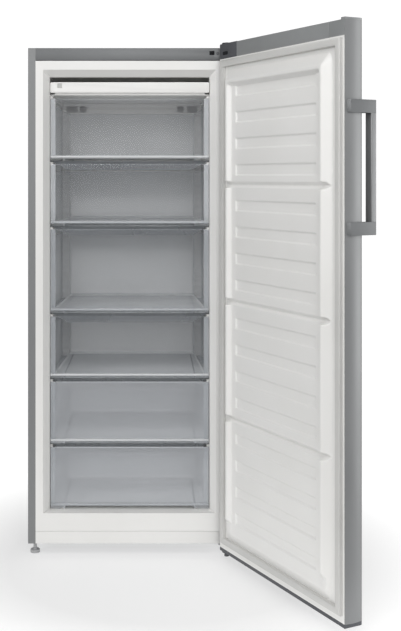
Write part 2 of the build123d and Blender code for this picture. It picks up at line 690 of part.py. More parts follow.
with BuildPart() as fan_rotor:
    cross_rod(HUB_R, 0, (behind(fan_front), behind(fan_front + FAN_T)), FAN_Z)
    with BuildSketch(Plane.XZ.offset(-behind(fan_front + FAN_T))):
        with Locations((0, FAN_Z)):
            with PolarLocations(0, FAN_BLADES):
                with Locations((FAN_R / 2, 0)):
                    Rectangle(FAN_R, BLADE_W)
        with Locations((0, FAN_Z)):
            Circle(FAN_R, mode=Mode.INTERSECT)
    extrude(amount=BLADE_T)
    cross_rod(
        MOTOR_SHAFT_R + SHAFT_PLAY, 0, (behind(fan_front), behind(fan_front + FAN_T)), FAN_Z, mode=Mode.SUBTRACT
    )
fan_rotor.part.label = "fan_rotor"
export_step(fan_rotor.part, "parts/fan_rotor.step")

# ---------------------------------------------------------------- machine room
comp_y = Y_BACK - COMP_FROM_BACK
with BuildPart() as compressor:
    upright(COMP_R, COMP_X, comp_y, (COMP_BOTTOM, COMP_BOTTOM + COMP_H))
    fillet(compressor.edges().filter_by(GeomType.CIRCLE), COMP_ROUND)
    block(
        (COMP_X - COMP_R, COMP_X + COMP_R),
        (comp_y - COMP_FOOT_HALF, comp_y + COMP_FOOT_HALF),
        (COMP_BOTTOM - COMP_FOOT_T, COMP_BOTTOM),
    )
compressor.part.label = "compressor"
export_step(compressor.part, "parts/compressor.step")

with BuildPart() as compressor_mounts:
    for dx in (MOUNT_R - COMP_R, COMP_R - MOUNT_R):
        for dy in (MOUNT_R - COMP_FOOT_HALF, COMP_FOOT_HALF - MOUNT_R):
            upright(MOUNT_R, COMP_X + dx, comp_y + dy, (PAN_TOP, COMP_BOTTOM - COMP_FOOT_T))
compressor_mounts.part.label = "compressor_mounts"
export_step(compressor_mounts.part, "parts/compressor_mounts.step")

with BuildPart() as terminal_box:
    block(
        (COMP_X + COMP_R, COMP_X + COMP_R + TERMINAL_W),
        (comp_y - TERMINAL_HALF, comp_y + TERMINAL_HALF),
        (COMP_BOTTOM + TERMINAL_LOW, COMP_BOTTOM + TERMINAL_HIGH),
    )
    fillet(terminal_box.edges().filter_by(Axis.Z), TERMINAL_R)
terminal_box.part.label = "terminal_box"
export_step(terminal_box.part, "parts/terminal_box.step")

with BuildPart() as drip_tray:
    tray_top = COMP_BOTTOM + COMP_H + DRIP_H
    block(
        (COMP_X - DRIP_W / 2, COMP_X + DRIP_W / 2),
        (comp_y - DRIP_D / 2, comp_y + DRIP_D / 2),
        (COMP_BOTTOM + COMP_H, tray_top),
    )
    fillet(drip_tray.edges().filter_by(Axis.Z), DRIP_R)
    offset(amount=-DRIP_T, openings=drip_tray.faces().sort_by(Axis.Z)[-1], mode=Mode.REPLACE)
drip_tray.part.label = "drip_tray"
export_step(drip_tray.part, "parts/drip_tray.step")

cond_y = Y_BACK - COND_FROM_BACK
with BuildPart() as condenser:
    for i in range(COND_RUNS):
        level_rod(COND_TUBE_R, (COND_X0, COND_X1), cond_y, COND_BASE + i * COND_PITCH)
    for i in range(COND_RUNS - 1):
        x = COND_X1 if i % 2 == 0 else COND_X0
        low = COND_BASE + i * COND_PITCH
        with BuildSketch(Plane(origin=(x, cond_y, low), x_dir=(0, 1, 0), z_dir=(1, 0, 0))):
            Circle(COND_TUBE_R)
        turn = 180 if i % 2 == 0 else -180
        revolve(axis=Axis((x, cond_y, low + COND_PITCH / 2), (0, -1, 0)), revolution_arc=turn)
    plate_top = COND_BASE + (COND_RUNS - 1) * COND_PITCH + COND_PLATE_OVER
    for x in (COND_X0 + COND_PLATE_INSET, COND_X1 - COND_PLATE_INSET - COND_PLATE_T):
        block(
            (x, x + COND_PLATE_T),
            (cond_y - COND_PLATE_HALF, cond_y + COND_PLATE_HALF),
            (PAN_TOP, plate_top),
        )
condenser.part.label = "condenser"
export_step(condenser.part, "parts/condenser.step")

# ---------------------------------------------------------------- feet and rollers
for side, name in ((-1, "left_foot"), (1, "right_foot")):
    foot_x, foot_y = foot_place(side)
    with BuildPart() as foot:
        upright(FOOT_R, foot_x, foot_y, (0, FOOT_PAD_H))
        fillet(foot.edges().filter_by(GeomType.CIRCLE).sort_by(Axis.Z)[-1], FOOT_ROUND)
        with BuildSketch(Plane.XY.offset(FOOT_PAD_H)):
            with Locations((foot_x, foot_y)):
                RegularPolygon(FOOT_NUT_R, 6)
        extrude(amount=FOOT_H - FOOT_PAD_H)
        upright(STEM_R, foot_x, foot_y, (FOOT_H, STEM_TOP))
    foot.part.label = name
    export_step(foot.part, f"parts/{name}.step")

roller_y = Y_BACK - ROLLER_FROM_BACK
fork_x = ROLLER_W / 2 + FORK_GAP
with BuildPart() as roller_forks:
    for side in (-1, 1):
        centre = side * ROLLER_X
        for x0 in (centre - fork_x - FORK_T, centre + fork_x):
            block(
                (x0, x0 + FORK_T),
                (roller_y - FORK_HALF, roller_y + FORK_HALF),
                (ROLLER_R - FORK_BELOW, BODY_BOTTOM),
            )
        block(
            (centre - fork_x - FORK_T, centre + fork_x + FORK_T),
            (roller_y - FORK_HALF, roller_y + FORK_HALF),
            (BODY_BOTTOM - FORK_T, BODY_BOTTOM),
        )
        level_rod(AXLE_R, (centre - fork_x, centre + fork_x), roller_y, ROLLER_R)
roller_forks.part.label = "roller_forks"
export_step(roller_forks.part, "parts/roller_forks.step")

for side, name in ((-1, "rear_roller_left"), (1, "rear_roller_right")):
    centre = side * ROLLER_X
    with BuildPart() as roller:
        level_rod(ROLLER_R, (centre - ROLLER_W / 2, centre + ROLLER_W / 2), roller_y, ROLLER_R)
        chamfer(roller.edges().filter_by(GeomType.CIRCLE), ROLLER_CHAMFER)
        level_rod(
            AXLE_R + SHAFT_PLAY,
            (centre - ROLLER_W / 2, centre + ROLLER_W / 2),
            roller_y,
            ROLLER_R,
            mode=Mode.SUBTRACT,
        )
    roller.part.label = name
    export_step(roller.part, f"parts/{name}.step")

# ---------------------------------------------------------------- door switch
switch_x = (SWITCH_X - SWITCH_W / 2, SWITCH_X + SWITCH_W / 2)
switch_z = (SWITCH_Z - SWITCH_H / 2, SWITCH_Z + SWITCH_H / 2)
with BuildPart() as door_switch_body:
    block(switch_x, (Y_FRONT, behind(SWITCH_DEPTH)), switch_z)
    block(
        (SWITCH_X - PLUNGER_W / 2 - PLUNGER_PLAY, SWITCH_X + PLUNGER_W / 2 + PLUNGER_PLAY),
        (Y_FRONT, behind(PLUNGER_IN + PLUNGER_TRAVEL + PLUNGER_END_GAP)),
        (SWITCH_Z - PLUNGER_H / 2 - PLUNGER_PLAY, SWITCH_Z + PLUNGER_H / 2 + PLUNGER_PLAY),
        mode=Mode.SUBTRACT,
    )
door_switch_body.part.label = "door_switch_body"
export_step(door_switch_body.part, "parts/door_switch_body.step")

with BuildPart() as door_switch_plunger:
    block(
        (SWITCH_X - PLUNGER_W / 2, SWITCH_X + PLUNGER_W / 2),
        (behind(-PLUNGER_OUT), behind(PLUNGER_IN)),
        (SWITCH_Z - PLUNGER_H / 2, SWITCH_Z + PLUNGER_H / 2),
    )
    tip = door_switch_plunger.faces().sort_by(Axis.Y)[0]
    fillet(tip.edges(), PLUNGER_R)
door_switch_plunger.part.label = "door_switch_plunger"
export_step(door_switch_plunger.part, "parts/door_switch_plunger.step")

# ---------------------------------------------------------------- hinges
arm_x = (PIN_X - ARM_HALF, PIN_X + ARM_HALF)
with BuildPart() as upper_hinge_bracket:
    block(arm_x, (behind(UPPER_FOOT_START), behind(UPPER_FOOT_END)), (BODY_TOP, BODY_TOP + ARM_T))
    block(
        arm_x,
        (behind(UPPER_FOOT_START), behind(UPPER_FOOT_START + ARM_T)),
        (BODY_TOP, UPPER_ARM_Z + ARM_T),
    )
    block(arm_x, (PIN_Y, behind(UPPER_FOOT_START + ARM_T)), (UPPER_ARM_Z, UPPER_ARM_Z + ARM_T))
    upright(ARM_HALF, PIN_X, PIN_Y, (UPPER_ARM_Z, UPPER_ARM_Z + ARM_T))
    upright(PIN_R, PIN_X, PIN_Y, (UPPER_ARM_Z, UPPER_ARM_Z + ARM_T), mode=Mode.SUBTRACT)
    screw_shanks(UPPER_SCREWS, mode=Mode.SUBTRACT)
upper_hinge_bracket.part.label = "upper_hinge_bracket"
export_step(upper_hinge_bracket.part, "parts/upper_hinge_bracket.step")

with BuildPart() as lower_hinge_bracket:
    block(arm_x, (behind(LOWER_FOOT_START), behind(LOWER_FOOT_END)), (BODY_BOTTOM - ARM_T, BODY_BOTTOM))
    block(arm_x, (behind(LOWER_FOOT_START), behind(LOWER_FOOT_START + ARM_T)), (LOWER_ARM_Z, BODY_BOTTOM))
    block(arm_x, (PIN_Y, behind(LOWER_FOOT_START + ARM_T)), (LOWER_ARM_Z, LOWER_ARM_Z + ARM_T))
    upright(ARM_HALF, PIN_X, PIN_Y, (LOWER_ARM_Z, LOWER_ARM_Z + ARM_T))
    upright(PIN_R, PIN_X, PIN_Y, (LOWER_ARM_Z, LOWER_ARM_Z + ARM_T), mode=Mode.SUBTRACT)
    screw_shanks(LOWER_SCREWS, mode=Mode.SUBTRACT)
lower_hinge_bracket.part.label = "lower_hinge_bracket"
export_step(lower_hinge_bracket.part, "parts/lower_hinge_bracket.step")

with BuildPart() as hinge_pins:
    upright(PIN_R, PIN_X, PIN_Y, (LOWER_ARM_Z, DOOR_BOTTOM + PIN_DEPTH))
    upright(PIN_HEAD_R, PIN_X, PIN_Y, (LOWER_ARM_Z - PIN_HEAD_H, LOWER_ARM_Z))
    upright(PIN_HEAD_R, PIN_X, PIN_Y, (LOWER_ARM_Z + ARM_T, LOWER_ARM_Z + ARM_T + COLLAR_H))
    upright(PIN_R, PIN_X, PIN_Y, (DOOR_TOP - PIN_DEPTH, UPPER_ARM_Z + ARM_T))
    upright(PIN_CAP_R, PIN_X, PIN_Y, (UPPER_ARM_Z + ARM_T, UPPER_ARM_Z + ARM_T + PIN_CAP_H))
hinge_pins.part.label = "hinge_pins"
export_step(hinge_pins.part, "parts/hinge_pins.step")

with BuildPart() as cabinet_screws:
    screw_shanks(UPPER_SCREWS + LOWER_SCREWS + TRIM_SCREWS)
    for seat in UPPER_SCREWS + LOWER_SCREWS + TRIM_SCREWS:
        with BuildSketch(seat):
            Circle(SCREW_HEAD_R)
        extrude(amount=SCREW_HEAD_H)
        with BuildSketch(seat.offset(SCREW_HEAD_H)):
            Rectangle(CROSS_L, CROSS_W)
            Rectangle(CROSS_W, CROSS_L)
        extrude(amount=-CROSS_D, mode=Mode.SUBTRACT)
cabinet_screws.part.label = "cabinet_screws"
export_step(cabinet_screws.part, "parts/cabinet_screws.step")

# ================================================================ freezing tray
with BuildPart() as freezing_tray:
    front = DRAWER_FRONT_DEPTH
    floor = TRAY_SEAT + RUN_GAP
    block((-TRAY_W / 2, TRAY_W / 2), (behind(front), behind(TRAY_BACK)), (floor, floor + TRAY_T))
    block((-TRAY_WALL_X, TRAY_WALL_X), (behind(front), behind(TRAY_BACK)), (floor, TRAY_WALL_TOP))
    block(
        (TRAY_T - TRAY_WALL_X, TRAY_WALL_X - TRAY_T),
        (behind(front + TRAY_T), behind(TRAY_BACK - TRAY_T)),
        (floor + TRAY_T, TRAY_WALL_TOP),
        mode=Mode.SUBTRACT,
    )
    with BuildSketch(front_plane(front)):
        with Locations((0, (TRAY_BAR_BOTTOM + TRAY_BAR_TOP) / 2)):
            RectangleRounded(TRAY_BAR_W, TRAY_BAR_TOP - TRAY_BAR_BOTTOM, TRAY_BAR_R)
    extrude(amount=TRAY_BAR_T)
    block(
        (RECESS_X - RECESS_SIZE / 2, RECESS_X + RECESS_SIZE / 2),
        (behind(front - TRAY_BAR_T), behind(front - TRAY_BAR_T + RECESS_D)),
        (RECESS_Z - RECESS_SIZE / 2, RECESS_Z + RECESS_SIZE / 2),
        mode=Mode.SUBTRACT,
    )
freezing_tray.part.label = "freezing_tray"
export_step(freezing_tray.part, "parts/freezing_tray.step")

# ================================================================ drawers
levels = list(zip(SEATS, COVERS))
runner_x = TUB_W / 2 - TUB_TAPER - TUB_R
for number, (seat, cover) in enumerate(reversed(levels), 1):
    lowest = seat == SEATS[0]
    back = TUB_BACK_LOW if lowest else TUB_BACK
    lip = seat + (LIP_RISE_LOW if lowest else LIP_RISE)
    low = seat + RUN_GAP
    with BuildPart() as drawer_tub:
        with BuildSketch(Plane.XY.offset(low + TUB_RISE)) as plan:
            with BuildLine():
                Polyline(
                    (-TUB_W / 2, behind(DRAWER_FRONT_DEPTH)),
                    (TUB_W / 2, behind(DRAWER_FRONT_DEPTH)),
                    (TUB_W / 2 - TUB_TAPER, behind(back)),
                    (TUB_TAPER - TUB_W / 2, behind(back)),
                    close=True,
                )
            make_face()
            fillet(plan.vertices().group_by(Axis.Y)[-1], TUB_R)
        extrude(amount=cover - RIM_DROP - low - TUB_RISE)
        offset(
            amount=-TUB_WALL,
            openings=[drawer_tub.faces().sort_by(Axis.Z)[-1], drawer_tub.faces().sort_by(Axis.Y)[0]],
            mode=Mode.REPLACE,
        )
        for x in ((-runner_x, RUNNER_W - runner_x), (runner_x - RUNNER_W, runner_x)):
            block(x, (behind(DRAWER_FRONT_DEPTH), behind(back - TUB_R)), (low, low + TUB_RISE))
    drawer_tub.part.label = f"drawer_{number}_tub"
    export_step(drawer_tub.part, f"parts/drawer_{number}_tub.step")

    half = DRAWER_FRONT_W / 2
    with BuildPart() as drawer_front:
        with BuildSketch(front_plane(DRAWER_FRONT_DEPTH)):
            with BuildLine():
                Polyline(
                    (-half, cover - TOP_GAP),
                    (half, cover - TOP_GAP),
                    (half, low),
                    (GRIP_HALF + GRIP_SLANT, low),
                    (GRIP_HALF, lip),
                    (-GRIP_HALF, lip),
                    (-GRIP_HALF - GRIP_SLANT, low),
                    (-half, low),
                    close=True,
                )
            make_face()
        extrude(amount=FRONT_T)
        face_y = DRAWER_FRONT_DEPTH - FRONT_T
        for x in ((-half, RAIL_W - half), (half - RAIL_W, half)):
            block(x, (behind(face_y - RAIL_PROUD), behind(face_y)), (lip, cover - TOP_GAP))
        with BuildSketch(Plane.YZ.offset(-half)):
            with BuildLine():
                Polyline(
                    (behind(face_y), lip),
                    (behind(face_y), lip + LIP_H),
                    (behind(face_y - LIP_PROUD + LIP_EDGE), lip + LIP_H),
                    (behind(face_y - LIP_PROUD), lip + LIP_H - LIP_EDGE),
                    (behind(face_y - LIP_PROUD), lip + LIP_UNDER),
                    close=True,
                )
            make_face()
        extrude(amount=DRAWER_FRONT_W)
    drawer_front.part.label = f"drawer_{number}_front"
    export_step(drawer_front.part, f"parts/drawer_{number}_front.step")

# ================================================================ door
skin_edge = SHELL_T
with BuildPart() as door_panel:
    door_slab(0, 0, (0, DOOR_W), (LINER_LOW, SKIN_HIGH))
    door_slab(skin_edge, -OVERCUT, (skin_edge, DOOR_W - skin_edge), (LINER_LOW, SKIN_HIGH), mode=Mode.SUBTRACT)
door_panel.part.label = "door_panel"
export_step(door_panel.part, "parts/door_panel.step")

with BuildPart() as door_bottom_cap:
    door_slab(0, 0, (0, DOOR_W), (DOOR_BOTTOM, LINER_LOW))
    upright(PIN_R + BOSS_WALL, PIN_X, PIN_Y, (LINER_LOW, BOSS_HIGH))
    with BuildSketch(DOOR_PLAN.offset(DOOR_BOTTOM)):
        with Locations(PIN_PLAN):
            Circle(PIN_R + PIN_PLAY)
    extrude(amount=PIN_DEPTH + PIN_END_GAP, mode=Mode.SUBTRACT)
door_bottom_cap.part.label = "door_bottom_cap"
export_step(door_bottom_cap.part, "parts/door_bottom_cap.step")

with BuildPart() as door_top_cap:
    door_slab(skin_edge, 0, (CORNER_CAP_W, DOOR_W - skin_edge), (LINER_HIGH, SKIN_HIGH))
    door_slab(0, 0, (DOOR_W - CAP_END_W, DOOR_W), (SKIN_HIGH, DOOR_TOP))
    with BuildSketch(DOOR_INNER.offset(-DOOR_T)):
        with BuildLine():
            Polyline(
                (CORNER_CAP_W, SKIN_HIGH),
                (DOOR_W - CAP_END_W, SKIN_HIGH),
                (DOOR_W - CAP_END_W, SKIN_HIGH + CAP_RIM_FREE),
                (CORNER_CAP_W, SKIN_HIGH + CAP_RIM_HINGE),
                close=True,
            )
        make_face()
    extrude(amount=DOOR_T)
    door_block(
        (CAP_SEAM_P, CAP_SEAM_P + CAP_SEAM),
        (0, CAP_SEAM),
        (LINER_HIGH, SKIN_HIGH),
        mode=Mode.SUBTRACT,
    )
door_top_cap.part.label = "door_top_cap"
export_step(door_top_cap.part, "parts/door_top_cap.step")

with BuildPart() as door_corner_cap:
    door_slab(skin_edge, 0, (skin_edge, CORNER_CAP_W), (LINER_HIGH, SKIN_HIGH))
    door_slab(0, 0, (0, CORNER_CAP_W), (SKIN_HIGH, DOOR_TOP))
    with BuildSketch(DOOR_PLAN.offset(DOOR_TOP)):
        with Locations(PIN_PLAN):
            Circle(PIN_R + PIN_PLAY)
    extrude(amount=-PIN_DEPTH - PIN_END_GAP, mode=Mode.SUBTRACT)
    with BuildSketch(DOOR_INNER.offset(-PLUG_DEPTH)) as plug:
        with Locations((PLUG_P, DOOR_TOP - PLUG_DROP)):
            SlotOverall(PLUG_W, PLUG_H)
    extrude(plug.sketch, amount=PLUG_DEPTH, mode=Mode.SUBTRACT)
door_corner_cap.part.label = "door_corner_cap"
export_step(door_corner_cap.part, "parts/door_corner_cap.step")

with BuildPart() as door_cap_plug:
    extrude(plug.sketch, amount=PLUG_DEPTH + PLUG_PROUD)
door_cap_plug.part.label = "door_cap_plug"
export_step(door_cap_plug.part, "parts/door_cap_plug.step")

pan_tops = [PAN_LOW_Z + (i + 1) * PAN_PITCH for i in range(len(SLOT_DROPS))]
grooves = pan_tops[:-1]
mid_p = DOOR_W / 2


def pan_cores(mode=Mode.ADD):
    """Hollows behind the door liner's pans, which the door's insulation fills."""
    for pan_top in pan_tops:
        door_block(
            (CORE_INSET, DOOR_W - CORE_INSET),
            (-CORE_H, PANEL_T),
            (pan_top - PAN_PITCH + 2 * GROOVE_HALF, min(pan_top, DYKE_TOP) - 2 * GROOVE_HALF),
            mode=mode,
        )


with BuildPart() as door_liner:
    # flat with its edges between the door's skins
    door_block((skin_edge, DOOR_W - skin_edge), (0, PANEL_T), (LINER_LOW, LINER_HIGH))
    # raised field with sloped outer walls
    with BuildSketch(DOOR_INNER):
        with Locations((mid_p, (DYKE_BASE_BOTTOM + DYKE_BASE_TOP) / 2)):
            Rectangle(DOOR_W - 2 * DYKE_BASE, DYKE_BASE_TOP - DYKE_BASE_BOTTOM)
    with BuildSketch(DOOR_INNER.offset(DYKE_H)):
        with Locations((mid_p, (DYKE_BOTTOM + DYKE_TOP) / 2)):
            Rectangle(DOOR_W - 2 * (DYKE_BASE + DYKE_RUN), DYKE_TOP - DYKE_BOTTOM)
    loft()
    # pan sunk between the ridges, open at its lower end
    pan_w = DOOR_W - 2 * PAN_SIDE
    with BuildSketch(DOOR_INNER.offset(PAN_H)):
        with Locations((mid_p, (DYKE_BASE_BOTTOM + DYKE_TOP - RIDGE_W - PAN_WALL_RUN) / 2)):
            Rectangle(pan_w, DYKE_TOP - RIDGE_W - PAN_WALL_RUN - DYKE_BASE_BOTTOM)
    with BuildSketch(DOOR_INNER.offset(DYKE_H)):
        with Locations((mid_p, (DYKE_BASE_BOTTOM + DYKE_TOP - RIDGE_W) / 2)):
            Rectangle(DOOR_W - 2 * RIDGE_IN, DYKE_TOP - RIDGE_W - DYKE_BASE_BOTTOM)
    loft(mode=Mode.SUBTRACT)
    # the lower ends of the ridges keep clear of the cabinet flange
    profile_plane = Plane(origin=DOOR_ORIGIN, x_dir=OUTWARD * -1, z_dir=ALONG * -1)
    with BuildSketch(profile_plane):
        with BuildLine():
            Polyline(
                (LOW_LIMIT_H, DYKE_BASE_BOTTOM),
                (DYKE_H + OVERCUT, DYKE_BASE_BOTTOM),
                (DYKE_H + OVERCUT, LOW_LIMIT_Z + LOW_RAMP),
                (LOW_LIMIT_H, LOW_LIMIT_Z),
                close=True,
            )
        make_face()
    extrude(amount=-DOOR_W, mode=Mode.SUBTRACT)
    # grooves between the four pans
    for z in grooves:
        with BuildSketch(profile_plane):
            with BuildLine():
                Polyline(
                    (GROOVE_FLOOR_H, z - GROOVE_HALF_FLOOR),
                    (PAN_H, z - GROOVE_HALF),
                    (DYKE_H + OVERCUT, z - GROOVE_HALF_TOP),
                    (DYKE_H + OVERCUT, z + GROOVE_HALF_TOP),
                    (PAN_H, z + GROOVE_HALF),
                    (GROOVE_FLOOR_H, z + GROOVE_HALF_FLOOR),
                    close=True,
                )
            make_face()
        extrude(amount=-DOOR_W, mode=Mode.SUBTRACT)
    # four shallow slots in each pan
    for pan_top, drop in zip(pan_tops, SLOT_DROPS):
        with BuildSketch(DOOR_INNER.offset(PAN_H)):
            for k in range(SLOT_COUNT):
                with Locations((mid_p, pan_top - drop - k * SLOT_PITCH - SLOT_H / 2)):
                    Rectangle(DOOR_W - 2 * SLOT_INSET, SLOT_H)
        extrude(amount=-SLOT_D, taper=SLOT_TAPER, mode=Mode.SUBTRACT)
    pan_cores(mode=Mode.SUBTRACT)
door_liner.part.label = "door_liner"
export_step(door_liner.part, "parts/door_liner.step")

with BuildPart() as door_foam:
    door_slab(skin_edge, PANEL_T, (skin_edge, DOOR_W - skin_edge), (LINER_LOW, LINER_HIGH))
    upright(PIN_R + BOSS_WALL, PIN_X, PIN_Y, (LINER_LOW, BOSS_HIGH), mode=Mode.SUBTRACT)
    pan_cores()
door_foam.part.label = "door_foam"
export_step(door_foam.part, "parts/door_foam.step")

gasket_p = (PIN_FROM_EDGE + GASKET_PIN_GAP, DOOR_W - GASKET_EDGE)
with BuildPart() as door_gasket:
    door_block(gasket_p, (-GASKET_T, 0), (GASKET_BOTTOM, GASKET_TOP))
    door_block(
        (gasket_p[0] + GASKET_W, gasket_p[1] - GASKET_W),
        (-GASKET_T, 0),
        (GASKET_BOTTOM + GASKET_LOW_W, GASKET_TOP - GASKET_W),
        mode=Mode.SUBTRACT,
    )
door_gasket.part.label = "door_gasket"
export_step(door_gasket.part, "parts/door_gasket.step")

# ---------------------------------------------------------------- handle
bracket_p = DOOR_W + BRACKET_PROUD
bar_p = (bracket_p - BAR_P, bracket_p)
with BuildPart() as handle_brackets:
    for z in (HANDLE_BOTTOM, HANDLE_TOP - BRACKET_H):
        with BuildSketch(DOOR_PLAN.offset(z)) as bracket:
            with BuildLine():
                Polyline(
                    (DOOR_W, BRACKET_INNER_Q),
                    (DOOR_W + BRACKET_PROUD - BRACKET_CHAMFER, BRACKET_INNER_Q),
                    (bracket_p, BRACKET_INNER_Q + BRACKET_CHAMFER),
                    (bracket_p, BAR_OUT_Q),
                    (bar_p[0], BAR_OUT_Q),
                    (bar_p[0], DOOR_T),
                    (DOOR_W, DOOR_T),
                    close=True,
                )
            make_face()
            fillet(bracket.vertices().group_by(Axis.Y)[-1], BAR_R)
        extrude(amount=BRACKET_H)
handle_brackets.part.label = "handle_brackets"
export_step(handle_brackets.part, "parts/handle_brackets.step")

with BuildPart() as handle_bar:
    with BuildSketch(DOOR_PLAN.offset(HANDLE_BOTTOM + BRACKET_H)):
        with Locations(((bar_p[0] + bar_p[1]) / 2, BAR_OUT_Q - BAR_Q / 2)):
            RectangleRounded(BAR_P, BAR_Q, BAR_R)
    extrude(amount=HANDLE_TOP - HANDLE_BOTTOM - 2 * BRACKET_H)
handle_bar.part.label = "handle_bar"
export_step(handle_bar.part, "parts/handle_bar.step")
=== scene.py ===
import json
import math

import bmesh
import bpy
import numpy as np
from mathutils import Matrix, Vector

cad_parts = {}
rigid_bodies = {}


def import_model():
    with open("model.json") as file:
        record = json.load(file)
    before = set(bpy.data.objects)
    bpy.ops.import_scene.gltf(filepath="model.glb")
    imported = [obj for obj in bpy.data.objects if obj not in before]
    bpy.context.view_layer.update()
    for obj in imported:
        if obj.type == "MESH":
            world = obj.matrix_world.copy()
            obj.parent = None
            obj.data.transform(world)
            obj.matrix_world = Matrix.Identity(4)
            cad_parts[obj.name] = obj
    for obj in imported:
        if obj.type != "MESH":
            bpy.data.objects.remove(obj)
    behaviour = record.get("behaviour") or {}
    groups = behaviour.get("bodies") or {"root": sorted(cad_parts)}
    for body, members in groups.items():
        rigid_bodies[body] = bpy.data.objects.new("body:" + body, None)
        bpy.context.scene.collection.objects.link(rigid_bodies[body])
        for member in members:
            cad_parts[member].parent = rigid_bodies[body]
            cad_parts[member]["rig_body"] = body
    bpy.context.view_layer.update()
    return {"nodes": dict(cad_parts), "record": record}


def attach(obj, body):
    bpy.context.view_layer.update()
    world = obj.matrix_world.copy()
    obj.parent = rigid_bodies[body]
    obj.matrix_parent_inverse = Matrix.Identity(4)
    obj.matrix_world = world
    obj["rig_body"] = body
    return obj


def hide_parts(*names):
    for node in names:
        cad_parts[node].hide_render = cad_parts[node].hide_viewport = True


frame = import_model()
nodes = frame["nodes"]

# ------------------------------------------------------------------ door frame of reference, metres
DOOR_ANGLE = 116.35  # degrees from closed, at rest
HINGE_AXIS = Vector((0.283, -0.3167, 0))
HINGE_FROM_EDGE = 0.0145
HINGE_FROM_FACE = 0.0147
SWING = math.radians(DOOR_ANGLE - 90)
ALONG = Vector((math.sin(SWING), -math.cos(SWING), 0))
OUTWARD = Vector((math.cos(SWING), math.sin(SWING), 0))
DOOR_ORIGIN = HINGE_AXIS - ALONG * HINGE_FROM_EDGE - OUTWARD * HINGE_FROM_FACE
FLANGE_FRONT = 0.290  # front of the cabinet's flange, ahead of the frame's origin

# ------------------------------------------------------------------ door, mm
DOOR_W = 595
DOOR_T = 56.0
STEEL_T = 1.0
SKIN_LEVELS = (38.0, 1493.5)  # foot and head of the steel skin
CORNER = 10  # radius of the skin's front corners
CROWN = 2.6  # bulge of the skin's edge at the handle side
CROWN_STEPS = 17
CORNER_STEPS = 9
FRONT_POINTS = (500, 400, 300, 200, 100, CORNER)  # skin's front, from the handle to the hinge
HINGE_EDGE_POINTS = (30, 15, 0)  # down its hinge edge to the inner face

LINER_SPAN = (1.0, 594.0)
LINER_LEVELS = (38.0, 1455.0)
LINER_BLUR = 1.2  # spread of the smoothing
LINER_RETURN = 0.002  # depth of the sheet's outer edge, metres
SHARP_BEND, SOFT_BEND = 0.05, 0.012  # change of slope between neighbouring grid lines
FLAT_STEP = 25  # one line in so many is kept where the sheet is flat
RIDGE_H = 22  # raised frame round the pans
RIDGE_SPAN, RIDGE_LEVELS = (48, 547), (77, 1420)
RIDGE_SIDE_SLOPE, RIDGE_FOOT_SLOPE, RIDGE_HEAD_SLOPE = 19, 47, 32
PAN_DEPTH = 12  # below the frame
PAN_SPAN, PAN_HEAD, PAN_WALL = (75, 520), 1380, 8
NO_WALL = 9.0  # any value from 1 up leaves a wall out
FOOT_H, FOOT_END = 11, 130  # the sheet is no higher than this up to this level
PAN_TOPS = (428, 760, 1092, 1424)
GROOVE_AWAY = [0, 2, 8, 9.5, 10]  # distance from a groove's middle
GROOVE_H = [3, 3, 10, 23, 60]  # height that it cuts the sheet down to
SLOT_SPAN, SLOT_H, SLOT_DEPTH, SLOT_WALL = (104, 491), 32, 4, 3.4
SLOTS_PER_PAN, SLOT_PITCH = 4, 74.5
FIRST_SLOT = (37, 43, 43, 51)  # below each pan's top

SEAL_SPAN, SEAL_LEVELS = (16.5, 588.0), (57.0, 1450.0)
SEAL_W, SEAL_FOOT_W = 20, 18
SEAL_PROFILE = (  # inward from the seal's outer edge, height off the liner
    (0.0, 0.0), (0.0, 2.2), (0.9, 3.4), (0.2, 4.8), (0.1, 8.6), (0.9, 10.4), (2.6, 11.3),
    (6.0, 11.55), (13.5, 11.55), (17.0, 11.2), (18.8, 10.2), (19.6, 8.4), (19.5, 6.6),
    (18.6, 5.4), (19.2, 4.0), (19.6, 2.4), (19.6, 0.0),
)

# ------------------------------------------------------------------ drawers, mm
DRAWERS_UPWARD = (6, 5, 4, 3, 2, 1)
SEATS = (132.0, 325.0, 518.0, 711.0, 969.0, 1162.0)  # what each drawer stands on
COVERS = SEATS[1:] + (1355.0,)  # what lies over it
BOTTOM_DRAWER = 6  # shorter, over the machine room's step
# drawers 5 and 6 take lighter, more opaque copies of the clear plastic: painted light
PAINTED_LIGHT_DRAWERS = (5, 6)
# the lips of these drawers take a lighter copy of the edge plastic, a painted highlight
PAINTED_HIGHLIGHT_LIPS = (1, 4, 5)
TUB_FRONT, TUB_HALF, TUB_TAPER, TUB_CORNER = 31.0, 226.0, 18.0, 12.0
TUB_BACK, SHORT_TUB_BACK = 412.0, 320.0
TUB_LEAST_CORNER = 3.0
TUB_CORNER_STEPS = 6
TUB_FLOOR, TUB_RIM_GAP = 8.3, 30.5
TUB_FOOT_PROFILE = ((7.0, 0.0), (3.2, 0.9), (0.9, 3.2), (0.0, 7.0))  # inward, over the floor
TUB_RIM_PROFILE = (  # inward, over the rim
    (0.0, -3.0), (-0.6, -0.8), (-2.0, 0.0), (-3.0, -0.8), (-3.0, -3.0),
)
RUNNER_LEFTS, RUNNER_W, RUNNER_BACK_GAP = (-196.0, 192.0), 4.0, 12
SEAT_GAP = 0.3
FRONT_HALF, FRONT_FACE = 233.5, 29.0
NOTCH_FOOT, NOTCH_HEAD = 206, 184  # half widths of the notch under the lip
LIP_RISE, LOW_LIP_RISE = 6, 9
FRONT_TOP_GAP = 10
RAIL_W, RAIL_DEPTHS = 14, (24.5, 29.5)
TOP_STRIP_H, TOP_STRIP_DEPTHS = 2.5, (26.5, 30.5)
BOX_FACES = 6  # of the strip at the top
LIP_PROFILE = (  # depth, height over the lip's underside
    (29.5, 0), (29.5, 9), (22.5, 9), (20.6, 8.2), (20.0, 6.8), (20.0, 3.2),
)


def door_point(p, q, z):
    """Point of the door: p from the hinge edge, q out from the inner face, z height, in mm."""
    return DOOR_ORIGIN + ALONG * (p / 1000) + OUTWARD * (q / 1000) + Vector((0, 0, z / 1000))


